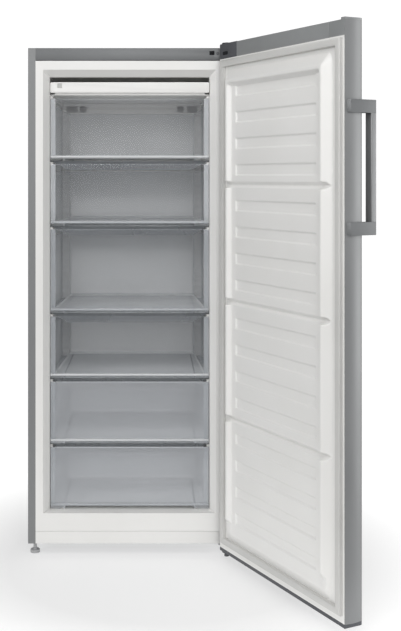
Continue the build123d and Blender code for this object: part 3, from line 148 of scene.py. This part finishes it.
def at(x, depth, z):
    """Point from x, depth behind the cabinet's flange and height, in mm."""
    return Vector((x / 1000, depth / 1000 - FLANGE_FRONT, z / 1000))


# ------------------------------------------------------------------ materials
def node_tree(name):
    m = bpy.data.materials.new(name)
    m.use_nodes = True
    t = m.node_tree
    return m, t.nodes, t.links, t.nodes["Principled BSDF"]


def put(node, **values):
    """Set a node's sockets; an underscore stands for a space in a socket's name."""
    for key, value in values.items():
        node.inputs[key.replace("_", " ")].default_value = value


def noise(ns, ls, scale, stretch=(1, 1, 1), detail=3.0):
    co = ns.new("ShaderNodeTexCoord")
    mp = ns.new("ShaderNodeMapping")
    put(mp, Scale=stretch)
    ls.new(co.outputs["Object"], mp.inputs["Vector"])
    n = ns.new("ShaderNodeTexNoise")
    put(n, Scale=scale, Detail=detail, Roughness=0.5)
    ls.new(mp.outputs["Vector"], n.inputs["Vector"])
    return n.outputs["Fac"]


def ramp(ns, ls, fac, dark, light):
    r = ns.new("ShaderNodeValToRGB")
    for end, position, colour in zip(r.color_ramp.elements, (0.3, 0.7), (dark, light)):
        end.position = position
        end.color = (*colour, 1)
    ls.new(fac, r.inputs["Fac"])
    return r.outputs["Color"]


def span(ns, ls, fac, lo, hi):
    m = ns.new("ShaderNodeMapRange")
    put(m, From_Min=0.25, From_Max=0.75, To_Min=lo, To_Max=hi)
    ls.new(fac, m.inputs["Value"])
    return m.outputs["Result"]


def bump(ns, ls, bsdf, fac, strength, distance):
    b = ns.new("ShaderNodeBump")
    put(b, Strength=strength, Distance=distance)
    ls.new(fac, b.inputs["Height"])
    ls.new(b.outputs["Normal"], bsdf.inputs["Normal"])


def finish_mat(name, dark, light, rough, metallic=0.0, mottle=9.0, grain=900.0,
               grain_stretch=(1, 1, 1), relief=0.15, depth=0.0003, alpha=1.0, specular=0.5,
               coat=0.0):
    """A finish whose colour and gloss wander a little, with a fine grain in its relief."""
    m, ns, ls, bsdf = node_tree(name)
    broad = noise(ns, ls, mottle)
    fine = noise(ns, ls, grain, grain_stretch, 2.0)
    ls.new(ramp(ns, ls, broad, dark, light), bsdf.inputs["Base Color"])
    ls.new(span(ns, ls, broad, *rough), bsdf.inputs["Roughness"])
    bump(ns, ls, bsdf, fine, relief, depth)
    put(bsdf, Metallic=metallic, Specular_IOR_Level=specular, Coat_Weight=coat, Alpha=alpha)
    return m


LINER_TONES = ((0.8, 0.795, 0.775), (0.83, 0.825, 0.81))
MATS = {
    "grey_steel": finish_mat(
        "grey_steel_paint", (0.22, 0.225, 0.228), (0.231, 0.236, 0.239), (0.42, 0.5),
        metallic=0.2, mottle=5, grain=1400, grain_stretch=(1, 1, 0.06), relief=0.08),
    "grey_plastic": finish_mat(
        "grey_moulded_plastic", (0.21, 0.217, 0.221), (0.235, 0.242, 0.246), (0.4, 0.5),
        metallic=0.25, grain=1600, relief=0.12),
    "trim_plastic": finish_mat(
        "front_trim_plastic", (0.15, 0.156, 0.16), (0.168, 0.174, 0.178), (0.4, 0.5),
        metallic=0.25, grain=1600, relief=0.12),
    "cap_plastic": finish_mat(
        "door_cap_plastic", (0.3, 0.31, 0.314), (0.33, 0.34, 0.344), (0.36, 0.46),
        metallic=0.25, grain=1600, relief=0.12),
    "black_plastic": finish_mat(
        "black_moulded_plastic", (0.066, 0.069, 0.077), (0.086, 0.089, 0.098), (0.42, 0.55),
        grain=1500, relief=0.2),
    "white_liner": finish_mat(
        "white_liner_sheet", *LINER_TONES, (0.3, 0.38),
        mottle=4, grain=260, relief=0.05, depth=0.0006),
    "white_plastic": finish_mat(
        "white_moulded_plastic", (0.82, 0.815, 0.8), (0.85, 0.845, 0.83), (0.28, 0.36),
        mottle=6, relief=0.05),
    "insulation_foam": finish_mat(
        "yellow_foam", (0.6, 0.47, 0.24), (0.74, 0.62, 0.36), (0.85, 0.95),
        mottle=60, grain=500, relief=0.6, depth=0.002, specular=0.2),
    "clear_drawer": finish_mat(
        "clear_tub_plastic", (0.73, 0.765, 0.81), (0.79, 0.825, 0.87), (0.1, 0.2),
        mottle=7, grain=300, relief=0.015, alpha=0.34, specular=0.8),
    # a lighter, more opaque copy of the clear plastic for floors and upward faces: painted light
    "painted_light_floor": finish_mat(
        "tub_floor_painted_light", (0.88, 0.9, 0.92), (0.92, 0.94, 0.96), (0.12, 0.22),
        mottle=7, grain=300, relief=0.04, alpha=0.82, specular=0.7),
    "clear_front": finish_mat(
        "clear_front_plastic", (0.58, 0.61, 0.66), (0.64, 0.67, 0.72), (0.08, 0.12),
        mottle=2, grain=200, relief=0.008, alpha=0.1, specular=0.9),
    # lighter, more opaque copies of the clear tub and front plastic for drawers 5 and 6, painted
    # light
    "painted_light_tub": finish_mat(
        "painted_light_tub_plastic", (0.84, 0.87, 0.91), (0.88, 0.91, 0.95), (0.1, 0.2),
        mottle=3, grain=300, relief=0.04, alpha=0.7, specular=0.8),
    "painted_light_front": finish_mat(
        "painted_light_front_plastic", (0.8, 0.825, 0.865), (0.84, 0.865, 0.905), (0.06, 0.1),
        mottle=2, grain=200, relief=0.01, alpha=0.31, specular=0.9),
    "clear_edge": finish_mat(
        "clear_plastic_edge", (0.48, 0.505, 0.535), (0.55, 0.575, 0.605), (0.08, 0.16),
        mottle=5, grain=200, relief=0.03, alpha=0.45, specular=0.9),
    # lighter copy of the edge plastic for some lips: painted highlight
    "painted_highlight_edge": finish_mat(
        "lip_plastic_painted_highlight", (0.72, 0.735, 0.75), (0.78, 0.795, 0.81), (0.1, 0.18),
        mottle=5, grain=200, relief=0.03, alpha=0.6, specular=0.9),
    "bracket_metal": finish_mat(
        "bracket_satin_metal", (0.165, 0.171, 0.175), (0.185, 0.191, 0.195), (0.42, 0.5),
        metallic=0.25, mottle=6, grain=1600, relief=0.1),
    "plug_plastic": finish_mat(
        "blind_plug_plastic", (0.012, 0.013, 0.015), (0.018, 0.019, 0.021), (0.5, 0.6),
        grain=1500, specular=0.15),
    "foot_plastic": finish_mat(
        "foot_pad_plastic", (0.36, 0.365, 0.37), (0.42, 0.425, 0.43), (0.4, 0.5),
        grain=1200, relief=0.12),
    # the shelves' dark tint, left on their skirts under the drawer lips, is painted shade
    "shelf_glass": finish_mat(
        "shelf_tint_painted_shade", (0.135, 0.146, 0.157), (0.16, 0.171, 0.182), (0.08, 0.15),
        mottle=6, grain=300, relief=0.03, alpha=0.72, specular=0.7),
    "galvanised": finish_mat(
        "galvanised_sheet", (0.4, 0.41, 0.42), (0.48, 0.49, 0.5), (0.32, 0.55),
        metallic=0.8, mottle=45, grain=700, relief=0.08),
    "dark_steel": finish_mat(
        "dark_painted_steel", (0.06, 0.063, 0.068), (0.085, 0.088, 0.094), (0.35, 0.48),
        metallic=0.3, mottle=30, grain=1200, relief=0.1),
    "black_enamel": finish_mat(
        "black_enamel_coat", (0.02, 0.02, 0.022), (0.032, 0.032, 0.035), (0.22, 0.34),
        mottle=20, grain=600, relief=0.1, coat=0.3),
    "rubber": finish_mat(
        "black_rubber", (0.022, 0.022, 0.023), (0.034, 0.034, 0.035), (0.7, 0.85),
        mottle=30, relief=0.25, specular=0.3),
    "light_rubber": finish_mat(
        "light_seal_rubber", (0.5, 0.5, 0.485), (0.55, 0.55, 0.535), (0.5, 0.6),
        mottle=8, relief=0.12, specular=0.35),
    "seal_rubber": finish_mat(
        "door_seal_rubber", (0.58, 0.577, 0.56), (0.62, 0.617, 0.6), (0.5, 0.6),
        mottle=8, relief=0.12, specular=0.35),
    "aluminium": finish_mat(
        "thin_aluminium", (0.6, 0.61, 0.62), (0.72, 0.73, 0.74), (0.25, 0.4),
        metallic=0.95, mottle=30, relief=0.06),
    "handle_metal": finish_mat(
        "handle_satin_metal", (0.245, 0.25, 0.255), (0.275, 0.28, 0.285), (0.4, 0.48),
        metallic=0.5, mottle=6, grain=1800, grain_stretch=(1, 1, 0.05), relief=0.08),
}

slots = {s["node"]: s["material_slot"] for s in frame["record"]["subparts"]}


def dress(obj, slot):
    obj.data.materials.clear()
    obj.data.materials.append(MATS[slot])


for name, obj in nodes.items():
    dress(obj, slots[name])

# below this height the foam walls the machine room, and looks like its sheet lining there
LINING_TOP = 0.24  # metres
LINING_TONE = (0.42, 0.43, 0.44, 1)
tree = MATS["insulation_foam"].node_tree
ns, ls, bsdf = tree.nodes, tree.links, tree.nodes["Principled BSDF"]
foam_colour = bsdf.inputs["Base Color"].links[0].from_socket
co = ns.new("ShaderNodeTexCoord")
axes = ns.new("ShaderNodeSeparateXYZ")
ls.new(co.outputs["Object"], axes.inputs["Vector"])
low = ns.new("ShaderNodeMath")
low.operation = "LESS_THAN"
low.inputs[1].default_value = LINING_TOP
ls.new(axes.outputs["Z"], low.inputs[0])
mix = ns.new("ShaderNodeMix")
mix.data_type = "RGBA"
put(mix, B=LINING_TONE)
ls.new(low.outputs["Value"], mix.inputs["Factor"])
ls.new(foam_colour, mix.inputs["A"])
ls.new(mix.outputs["Result"], bsdf.inputs["Base Color"])

# the duct cover is ribbed across
ribbed, ns, ls, bsdf = node_tree("ribbed_duct_sheet")
ls.new(ramp(ns, ls, noise(ns, ls, 5), *LINER_TONES), bsdf.inputs["Base Color"])
ls.new(span(ns, ls, noise(ns, ls, 9), 0.3, 0.4), bsdf.inputs["Roughness"])
wave = ns.new("ShaderNodeTexWave")
wave.bands_direction = "Z"
put(wave, Scale=14.0, Distortion=0.0)
co = ns.new("ShaderNodeTexCoord")
ls.new(co.outputs["Object"], wave.inputs["Vector"])
bump(ns, ls, bsdf, wave.outputs["Fac"], 0.5, 0.004)
nodes["duct_cover"].data.materials[0] = ribbed


# ------------------------------------------------------------------ mesh helpers
SAME_POINT = 2e-6  # metres, points nearer than this are joined
SAME_PLANE = math.radians(0.6)  # faces that meet under this angle are joined
SHARP = math.radians(28)  # edges over this angle are rounded
ROUND_SMOOTH = 35  # degrees


def set_piece(name, me, slot, body, stands_for, smooth_angle):
    """An object of the mesh, smooth where neighbouring faces meet under smooth_angle degrees."""
    obj = bpy.data.objects.new(name, me)
    bpy.context.scene.collection.objects.link(obj)
    dress(obj, slot)
    bm = bmesh.new()
    bm.from_mesh(me)
    for f in bm.faces:
        f.smooth = True
    limit = math.radians(smooth_angle)
    for e in bm.edges:
        e.smooth = len(e.link_faces) == 2 and e.calc_face_angle(0) < limit
    bm.to_mesh(me)
    bm.free()
    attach(obj, body)
    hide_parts(*stands_for)
    return obj


def new_piece(name, verts, faces, slot, body, stands_for, smooth_angle):
    me = bpy.data.meshes.new(name)
    me.from_pydata([tuple(v) for v in verts], [], faces)
    me.validate()
    me.update()
    return set_piece(name, me, slot, body, stands_for, smooth_angle)


def rounded(node, width):
    """A copy of a CAD node with its sharp edges rounded by width mm; it stands for the node."""
    src = nodes[node]
    me = src.data.copy()
    bm = bmesh.new()
    bm.from_mesh(me)
    bmesh.ops.remove_doubles(bm, verts=bm.verts, dist=SAME_POINT)
    bmesh.ops.dissolve_limit(bm, angle_limit=SAME_PLANE, verts=bm.verts, edges=bm.edges)
    edges = [e for e in bm.edges if len(e.link_faces) == 2 and e.calc_face_angle(0) > SHARP]
    bmesh.ops.bevel(bm, geom=edges, offset=width / 1000, segments=2, profile=0.5,
                    affect="EDGES", clamp_overlap=True)
    bm.to_mesh(me)
    bm.free()
    me.name = node + "_round"
    return set_piece(node + "_round", me, slots[node], src["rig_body"], (node,), ROUND_SMOOTH)


def lattice(rows, columns, closed=False):
    """Quads between neighbouring rows of points that are numbered row after row."""
    faces = []
    for a in range(rows - 1):
        for b in range(columns if closed else columns - 1):
            v, w = a * columns + b, a * columns + (b + 1) % columns
            faces.append((v, w, w + columns, v + columns))
    return faces


def second_finish(me, finish, chosen):
    """Another material on the chosen faces of a mesh."""
    me.materials.append(MATS[finish])
    for f in me.polygons:
        f.material_index = int(chosen(f))


# ------------------------------------------------------------------ door liner, one formed sheet
def rise(left, right, low, high):
    """0 outside four sloped walls, 1 inside them, with the corners rounded."""
    across = np.clip(1 - np.minimum(left, right), 0, None)
    upright = np.clip(1 - np.minimum(low, high), 0, None)
    return np.clip(1 - np.hypot(across, upright), 0, 1)


def liner_height(p, z):
    """Height of the formed sheet off the door's inner face, millimetres, on a grid."""
    h = RIDGE_H * rise(
        (p - RIDGE_SPAN[0]) / RIDGE_SIDE_SLOPE, (RIDGE_SPAN[1] - p) / RIDGE_SIDE_SLOPE,
        (z - RIDGE_LEVELS[0]) / RIDGE_FOOT_SLOPE, (RIDGE_LEVELS[1] - z) / RIDGE_HEAD_SLOPE)
    pans = rise((p - PAN_SPAN[0]) / PAN_WALL, (PAN_SPAN[1] - p) / PAN_WALL,
                NO_WALL, (PAN_HEAD - z) / PAN_WALL)
    h = np.minimum(h, RIDGE_H - PAN_DEPTH * pans)
    h = np.minimum(h, FOOT_H + np.maximum(z - FOOT_END, 0))
    for groove in PAN_TOPS[:-1]:
        h = np.minimum(h, np.interp(np.abs(z - groove), GROOVE_AWAY, GROOVE_H))
    for pan_top, drop in zip(PAN_TOPS, FIRST_SLOT):
        for k in range(SLOTS_PER_PAN):
            top = pan_top - drop - k * SLOT_PITCH
            h = h - SLOT_DEPTH * rise(
                (p - SLOT_SPAN[0]) / SLOT_WALL, (SLOT_SPAN[1] - p) / SLOT_WALL,
                (z - top + SLOT_H) / SLOT_WALL, (top - z) / SLOT_WALL)
    return h


def blurred(a, sigma):
    """The grid smoothed by a Gaussian along both axes, its border values carried on outward."""
    r = int(3 * sigma + 1)
    weights = np.exp(-0.5 * (np.arange(-r, r + 1) / sigma) ** 2)
    weights /= weights.sum()
    for axis in (0, 1):
        pad = [(0, 0), (0, 0)]
        pad[axis] = (r, r)
        b = np.pad(a, pad, mode="edge")
        size = a.shape[axis]
        a = sum(w * np.take(b, range(i, i + size), axis=axis) for i, w in enumerate(weights))
    return a


def grid_lines(h, axis):
    """Indices of the grid lines kept: every line where the sheet bends, few where it is flat."""
    bend = np.abs(np.diff(h, 2, axis=axis)).max(axis=1 - axis)
    bend = np.concatenate([[0], bend, [0]])
    keep, last = [0], 0
    for i in range(1, len(bend)):
        step = 1 if bend[i] > SHARP_BEND else 2 if bend[i] > SOFT_BEND else FLAT_STEP
        if i - last >= step or i == len(bend) - 1:
            keep.append(i)
            last = i
    return keep


p_all = np.arange(LINER_SPAN[0], LINER_SPAN[1] + 0.01, 1.0)
z_all = np.arange(LINER_LEVELS[0], LINER_LEVELS[1] + 0.01, 1.0)
sheet = blurred(liner_height(*np.meshgrid(p_all, z_all, indexing="ij")), LINER_BLUR)
ip, iz = grid_lines(sheet, 0), grid_lines(sheet, 1)
verts = [door_point(p_all[i], -sheet[i, j], z_all[j]) for i in ip for j in iz]
rows, n = len(ip), len(iz)
faces = lattice(rows, n)
rim = [a * n for a in range(rows)] + [(rows - 1) * n + b for b in range(1, n)]
rim += [a * n + n - 1 for a in range(rows - 2, -1, -1)] + [b for b in range(n - 2, 0, -1)]
start = len(verts)
verts += [Vector(verts[v]) + OUTWARD * LINER_RETURN for v in rim]
for k in range(len(rim)):
    k2 = (k + 1) % len(rim)
    faces.append((rim[k], rim[k2], start + k2, start + k))
new_piece("door_liner_sheet", verts, faces, "white_liner", "door", ("door_liner",), 60)

# ------------------------------------------------------------------ door seal with its bellows
verts = []
for w, height in SEAL_PROFILE:
    left, right = SEAL_SPAN[0] + w, SEAL_SPAN[1] - w
    low, high = SEAL_LEVELS[0] + w * SEAL_FOOT_W / SEAL_W, SEAL_LEVELS[1] - w
    verts += [door_point(p, -height, z)
              for p, z in ((left, low), (right, low), (right, high), (left, high))]
faces = lattice(len(SEAL_PROFILE), 4, closed=True)
new_piece("door_seal", verts, faces, "light_rubber", "door", ("door_gasket",), 50)

# ------------------------------------------------------------------ door skin, crowned free edge
flat = DOOR_T - CORNER
half = flat / 2
turn = [math.radians(a) for a in np.linspace(0, 90, CORNER_STEPS)[1:]]
outer = [(DOOR_W + CROWN * (1 - ((q - half) / half) ** 2), q)
         for q in np.linspace(0, flat, CROWN_STEPS)]
outer += [(DOOR_W - CORNER + CORNER * math.cos(a), flat + CORNER * math.sin(a)) for a in turn]
outer += [(p, DOOR_T) for p in FRONT_POINTS]
outer += [(CORNER - CORNER * math.sin(a), flat + CORNER * math.cos(a)) for a in turn]
outer += [(0.0, q) for q in HINGE_EDGE_POINTS]
inner = [(min(max(p, STEEL_T), DOOR_W - STEEL_T), min(q, DOOR_T - STEEL_T)) for p, q in outer]
verts = [door_point(p, q, z) for z in SKIN_LEVELS for ring in (outer, inner) for p, q in ring]
faces = []
n = len(outer)
for k in range(n - 1):
    faces.append((k, k + 1, 2 * n + k + 1, 2 * n + k))
    faces.append((n + k, 3 * n + k, 3 * n + k + 1, n + k + 1))
    faces.append((k, n + k, n + k + 1, k + 1))
    faces.append((2 * n + k, 2 * n + k + 1, 3 * n + k + 1, 3 * n + k))
for k in (0, n - 1):
    faces.append((k, 2 * n + k, 3 * n + k, n + k))
new_piece("door_skin", verts, faces, "grey_steel", "door", ("door_panel",), 50)


# ------------------------------------------------------------------ clear drawers
def add_box(verts, faces, x, depth, z):
    b = len(verts)
    verts += [at(i, j, k) for k in z for j in depth for i in x]
    faces += [tuple(b + i for i in f) for f in (
        (0, 2, 3, 1), (4, 5, 7, 6), (0, 1, 5, 4), (2, 6, 7, 3), (0, 4, 6, 2), (1, 3, 7, 5))]


def tub_outline(inset, back):
    """Open outline of the tub from its right front corner round the back, set in from its wall."""
    side = Vector((-TUB_TAPER, back - TUB_FRONT)).normalized()
    radius = max(TUB_CORNER - inset, TUB_LEAST_CORNER)
    half = TUB_HALF - TUB_TAPER - inset
    corner = Vector((half, back - inset))
    first, last = corner - side * radius, Vector((half - radius, back - inset))
    points = [(TUB_HALF - inset, TUB_FRONT)]
    for i in range(TUB_CORNER_STEPS + 1):
        t = i / TUB_CORNER_STEPS
        q = (1 - t) ** 2 * first + 2 * t * (1 - t) * corner + t ** 2 * last
        points.append((q.x, q.y))
    return points + [(-x, y) for x, y in reversed(points)]


def clear_tub(k, seat, rim, back):
    """Thin moulded tub: a curved floor edge, tapered sides and a rolled rim, on two runners."""
    bed = seat + TUB_FLOOR
    rings = [(inset, bed + up) for inset, up in TUB_FOOT_PROFILE]
    rings += [(inset, rim + up) for inset, up in TUB_RIM_PROFILE]
    verts = [at(x, y, z) for inset, z in rings for x, y in tub_outline(inset, back)]
    n = len(verts) // len(rings)
    faces = lattice(len(rings), n)
    floor_face, bend_faces = len(faces), 2 * (n - 1)
    faces.append(tuple(range(n)))
    for x in RUNNER_LEFTS:
        add_box(verts, faces, (x, x + RUNNER_W), (TUB_FRONT, back - RUNNER_BACK_GAP),
                (seat + SEAT_GAP, bed))
    piece = new_piece(f"drawer_{k}_tub_sheet", verts, faces, "clear_drawer", f"drawer_{k}",
                      (f"drawer_{k}_tub",), 50)
    if k in PAINTED_LIGHT_DRAWERS:
        piece.data.materials[0] = MATS["painted_light_tub"]
    # the tub's floor and its lower bend take the lighter copy of the same plastic, painted light
    second_finish(piece.data, "painted_light_floor",
                  lambda f: f.index < bend_faces or f.index == floor_face)


def clear_front(k, seat, lip, top):
    """Clear panel with a notch under the lip, a raised strip down each side and the grip lip."""
    low, half, strip = seat + SEAT_GAP, FRONT_HALF, FRONT_HALF - RAIL_W
    outline = ((-half, top), (half, top), (half, low), (NOTCH_FOOT, low), (NOTCH_HEAD, lip),
               (-NOTCH_HEAD, lip), (-NOTCH_FOOT, low), (-half, low))
    verts = [at(x, FRONT_FACE, z) for x, z in outline]
    faces = [tuple(range(len(outline)))]
    for x in ((-half, -strip), (strip, half)):
        add_box(verts, faces, x, RAIL_DEPTHS, (lip, top))
    rails_end = len(faces)
    add_box(verts, faces, (-strip, strip), TOP_STRIP_DEPTHS, (top - TOP_STRIP_H, top))
    b, n = len(verts), len(LIP_PROFILE)
    verts += [at(x, y, lip + up) for x in (-half, half) for y, up in LIP_PROFILE]
    faces += [(b + i, b + (i + 1) % n, b + n + (i + 1) % n, b + n + i) for i in range(n)]
    faces += [tuple(b + i for i in reversed(range(n))), tuple(b + n + i for i in range(n))]
    piece = new_piece(f"drawer_{k}_front_sheet", verts, faces, "clear_front", f"drawer_{k}",
                      (f"drawer_{k}_front",), 30)
    finishes = piece.data.materials
    if k in PAINTED_LIGHT_DRAWERS:
        finishes[0] = MATS["painted_light_front"]
    finishes.append(MATS["clear_edge"])
    finishes.append(MATS["painted_highlight_edge" if k in PAINTED_HIGHLIGHT_LIPS else "clear_edge"])
    for f in piece.data.polygons:
        f.material_index = 2 if f.index >= rails_end + BOX_FACES else int(0 < f.index < rails_end)


# ------------------------------------------------------------------ CAD forms with softened edges
for node, width in (
    ("top_trim", 1.2), ("plinth", 0.5), ("freezing_tray", 0.9),
    ("door_top_cap", 1.2), ("door_corner_cap", 1.2), ("door_bottom_cap", 1.2),
    ("handle_brackets", 1.0), ("handle_bar", 0.8), ("upper_hinge_bracket", 0.5),
    ("lower_hinge_bracket", 0.5), ("door_switch_body", 0.5), ("door_cap_plug", 0.4),
    ("left_foot", 0.6), ("right_foot", 0.6),
):
    rounded(node, width)

for name, finish in (
    ("door_cap_plug_round", "plug_plastic"), ("door_switch_body_round", "plug_plastic"),
    ("door_top_cap_round", "cap_plastic"), ("door_seal", "seal_rubber"),
    ("handle_brackets_round", "bracket_metal"), ("top_trim_round", "trim_plastic"),
    ("left_foot_round", "foot_plastic"), ("right_foot_round", "foot_plastic"),
):
    bpy.data.objects[name].data.materials[0] = MATS[finish]
nodes["door_switch_plunger"].data.materials[0] = MATS["plug_plastic"]

TONGUE_TOP = 1.4559  # metres, the trim's tongues lie under it
MARK_X, MARK_Z, MARK_HALF = -0.2065, 1.3825, 0.007  # metres, the mark on the tray's bar
BAR_FACE = (-0.27, -0.26)  # metres, the bar's front lies between them
# the trim's tongues below this level are painted black as the shadow line under the trim: painted
# shade
second_finish(bpy.data.objects["top_trim_round"].data, "plug_plastic",
              lambda f: f.center.z < TONGUE_TOP)
second_finish(bpy.data.objects["freezing_tray_round"].data, "light_rubber",
              lambda f: abs(f.center.x - MARK_X) < MARK_HALF
              and abs(f.center.z - MARK_Z) < MARK_HALF
              and BAR_FACE[0] < f.center.y < BAR_FACE[1])

for k, seat, cover in zip(DRAWERS_UPWARD, SEATS, COVERS):
    lowest = k == BOTTOM_DRAWER
    clear_tub(k, seat, cover - TUB_RIM_GAP, SHORT_TUB_BACK if lowest else TUB_BACK)
    clear_front(k, seat, seat + (LOW_LIP_RISE if lowest else LIP_RISE), cover - FRONT_TOP_GAP)

SKIRT_BACK = -0.25  # metres, a shelf's sheet lies behind it and its skirt in front
# the sheets' upward faces take the lighter floor finish, painted light; the skirts keep the dark
# tint, painted shade
for k in range(1, 6):
    second_finish(rounded(f"shelf_{k}", 0.8).data, "painted_light_floor",
                  lambda f: abs(f.normal.z) > 0.5 and f.center.y > SKIRT_BACK)

# ------------------------------------------------------------------ floor
FLOOR_X, FLOOR_Y, FLOOR_R = 0.1, -0.3, 1.0
FLOOR_POINTS = 96
angles = [i * 2 * math.pi / FLOOR_POINTS for i in range(FLOOR_POINTS)]
disc = [(FLOOR_X + FLOOR_R * math.cos(a), FLOOR_Y + FLOOR_R * math.sin(a), 0) for a in angles]
me = bpy.data.meshes.new("floor")
me.from_pydata(disc, [], [tuple(range(FLOOR_POINTS))])
floor = bpy.data.objects.new("floor", me)
bpy.context.scene.collection.objects.link(floor)
pale, ns, ls, bsdf = node_tree("pale_floor")
ls.new(ramp(ns, ls, noise(ns, ls, 1.5), (0.44,) * 3, (0.46,) * 3), bsdf.inputs["Base Color"])
put(bsdf, Roughness=0.9, Specular_IOR_Level=0.1, Emission_Color=(1.0, 1.0, 1.0, 1))
# the glow grows towards the disc's edge, where the floor meets the white surroundings; the dimmer
# glow in the middle, under the freezer, is a painted soft shadow
glow = ns.new("ShaderNodeTexGradient")
glow.gradient_type = "SPHERICAL"
place = ns.new("ShaderNodeMapping")
put(place, Location=(-FLOOR_X, -FLOOR_Y, 0))
co = ns.new("ShaderNodeTexCoord")
ls.new(co.outputs["Object"], place.inputs["Vector"])
ls.new(place.outputs["Vector"], glow.inputs["Vector"])
painted_shadow_fade = ns.new("ShaderNodeMapRange")
put(painted_shadow_fade, From_Max=0.55, To_Min=0.95, To_Max=0.52)
ls.new(glow.outputs["Fac"], painted_shadow_fade.inputs["Value"])
ls.new(painted_shadow_fade.outputs["Result"], bsdf.inputs["Emission Strength"])
floor.data.materials.append(pale)

# ------------------------------------------------------------------ surroundings and light
world = bpy.data.worlds.new("studio")
bpy.context.scene.world = world
world.use_nodes = True
wn, wl = world.node_tree.nodes, world.node_tree.links
dim = wn["Background"]
put(dim, Color=(1.0, 1.0, 1.0, 1), Strength=0.26)
# plain white where the camera sees past the floor
plain = wn.new("ShaderNodeBackground")
put(plain, Color=(1.0, 1.0, 1.0, 1), Strength=1.05)
seen = wn.new("ShaderNodeLightPath")
pick = wn.new("ShaderNodeMixShader")
wl.new(seen.outputs["Is Camera Ray"], pick.inputs["Fac"])
wl.new(dim.outputs["Background"], pick.inputs[1])
wl.new(plain.outputs["Background"], pick.inputs[2])
wl.new(pick.outputs["Shader"], wn["World Output"].inputs["Surface"])


def softbox(name, place, aim, size, power):
    """Rectangular soft light at place, turned to aim; metres and watts."""
    light = bpy.data.lights.new(name, "AREA")
    light.shape = "RECTANGLE"
    light.size, light.size_y = size
    light.energy = power
    obj = bpy.data.objects.new(name, light)
    bpy.context.scene.collection.objects.link(obj)
    obj.location = place
    obj.rotation_euler = (Vector(aim) - Vector(place)).to_track_quat("-Z", "Y").to_euler()


softbox("front", (0.05, -4.05, 1.6), (0.1, -0.35, 1.1), (2.7, 1.6), 38)
softbox("top", (0.0, -2.4, 2.6), (0.1, -0.4, 1.1), (2.0, 1.0), 20)
softbox("left", (-3.0, -2.6, 2.3), (0.2, -0.5, 1.1), (1.8, 1.6), 36)
softbox("edge", (2.9, -1.1, 0.9), (0.53, -0.84, 0.8), (0.3, 2.6), 40)

# ------------------------------------------------------------------ camera, square to the front
cam_data = bpy.data.cameras.new("camera")
cam_data.sensor_width = 36
cam_data.sensor_fit = "AUTO"
cam_data.lens = 59.48
cam_data.shift_x = 0.0803
cam_data.shift_y = -0.219
cam = bpy.data.objects.new("camera", cam_data)
bpy.context.scene.collection.objects.link(cam)
cam.location = (0.05963, -3.346, 1.1125)
cam.rotation_euler = (math.radians(90), 0, 0)
bpy.context.scene.camera = cam
bpy.context.scene.view_settings.view_transform = "Standard"
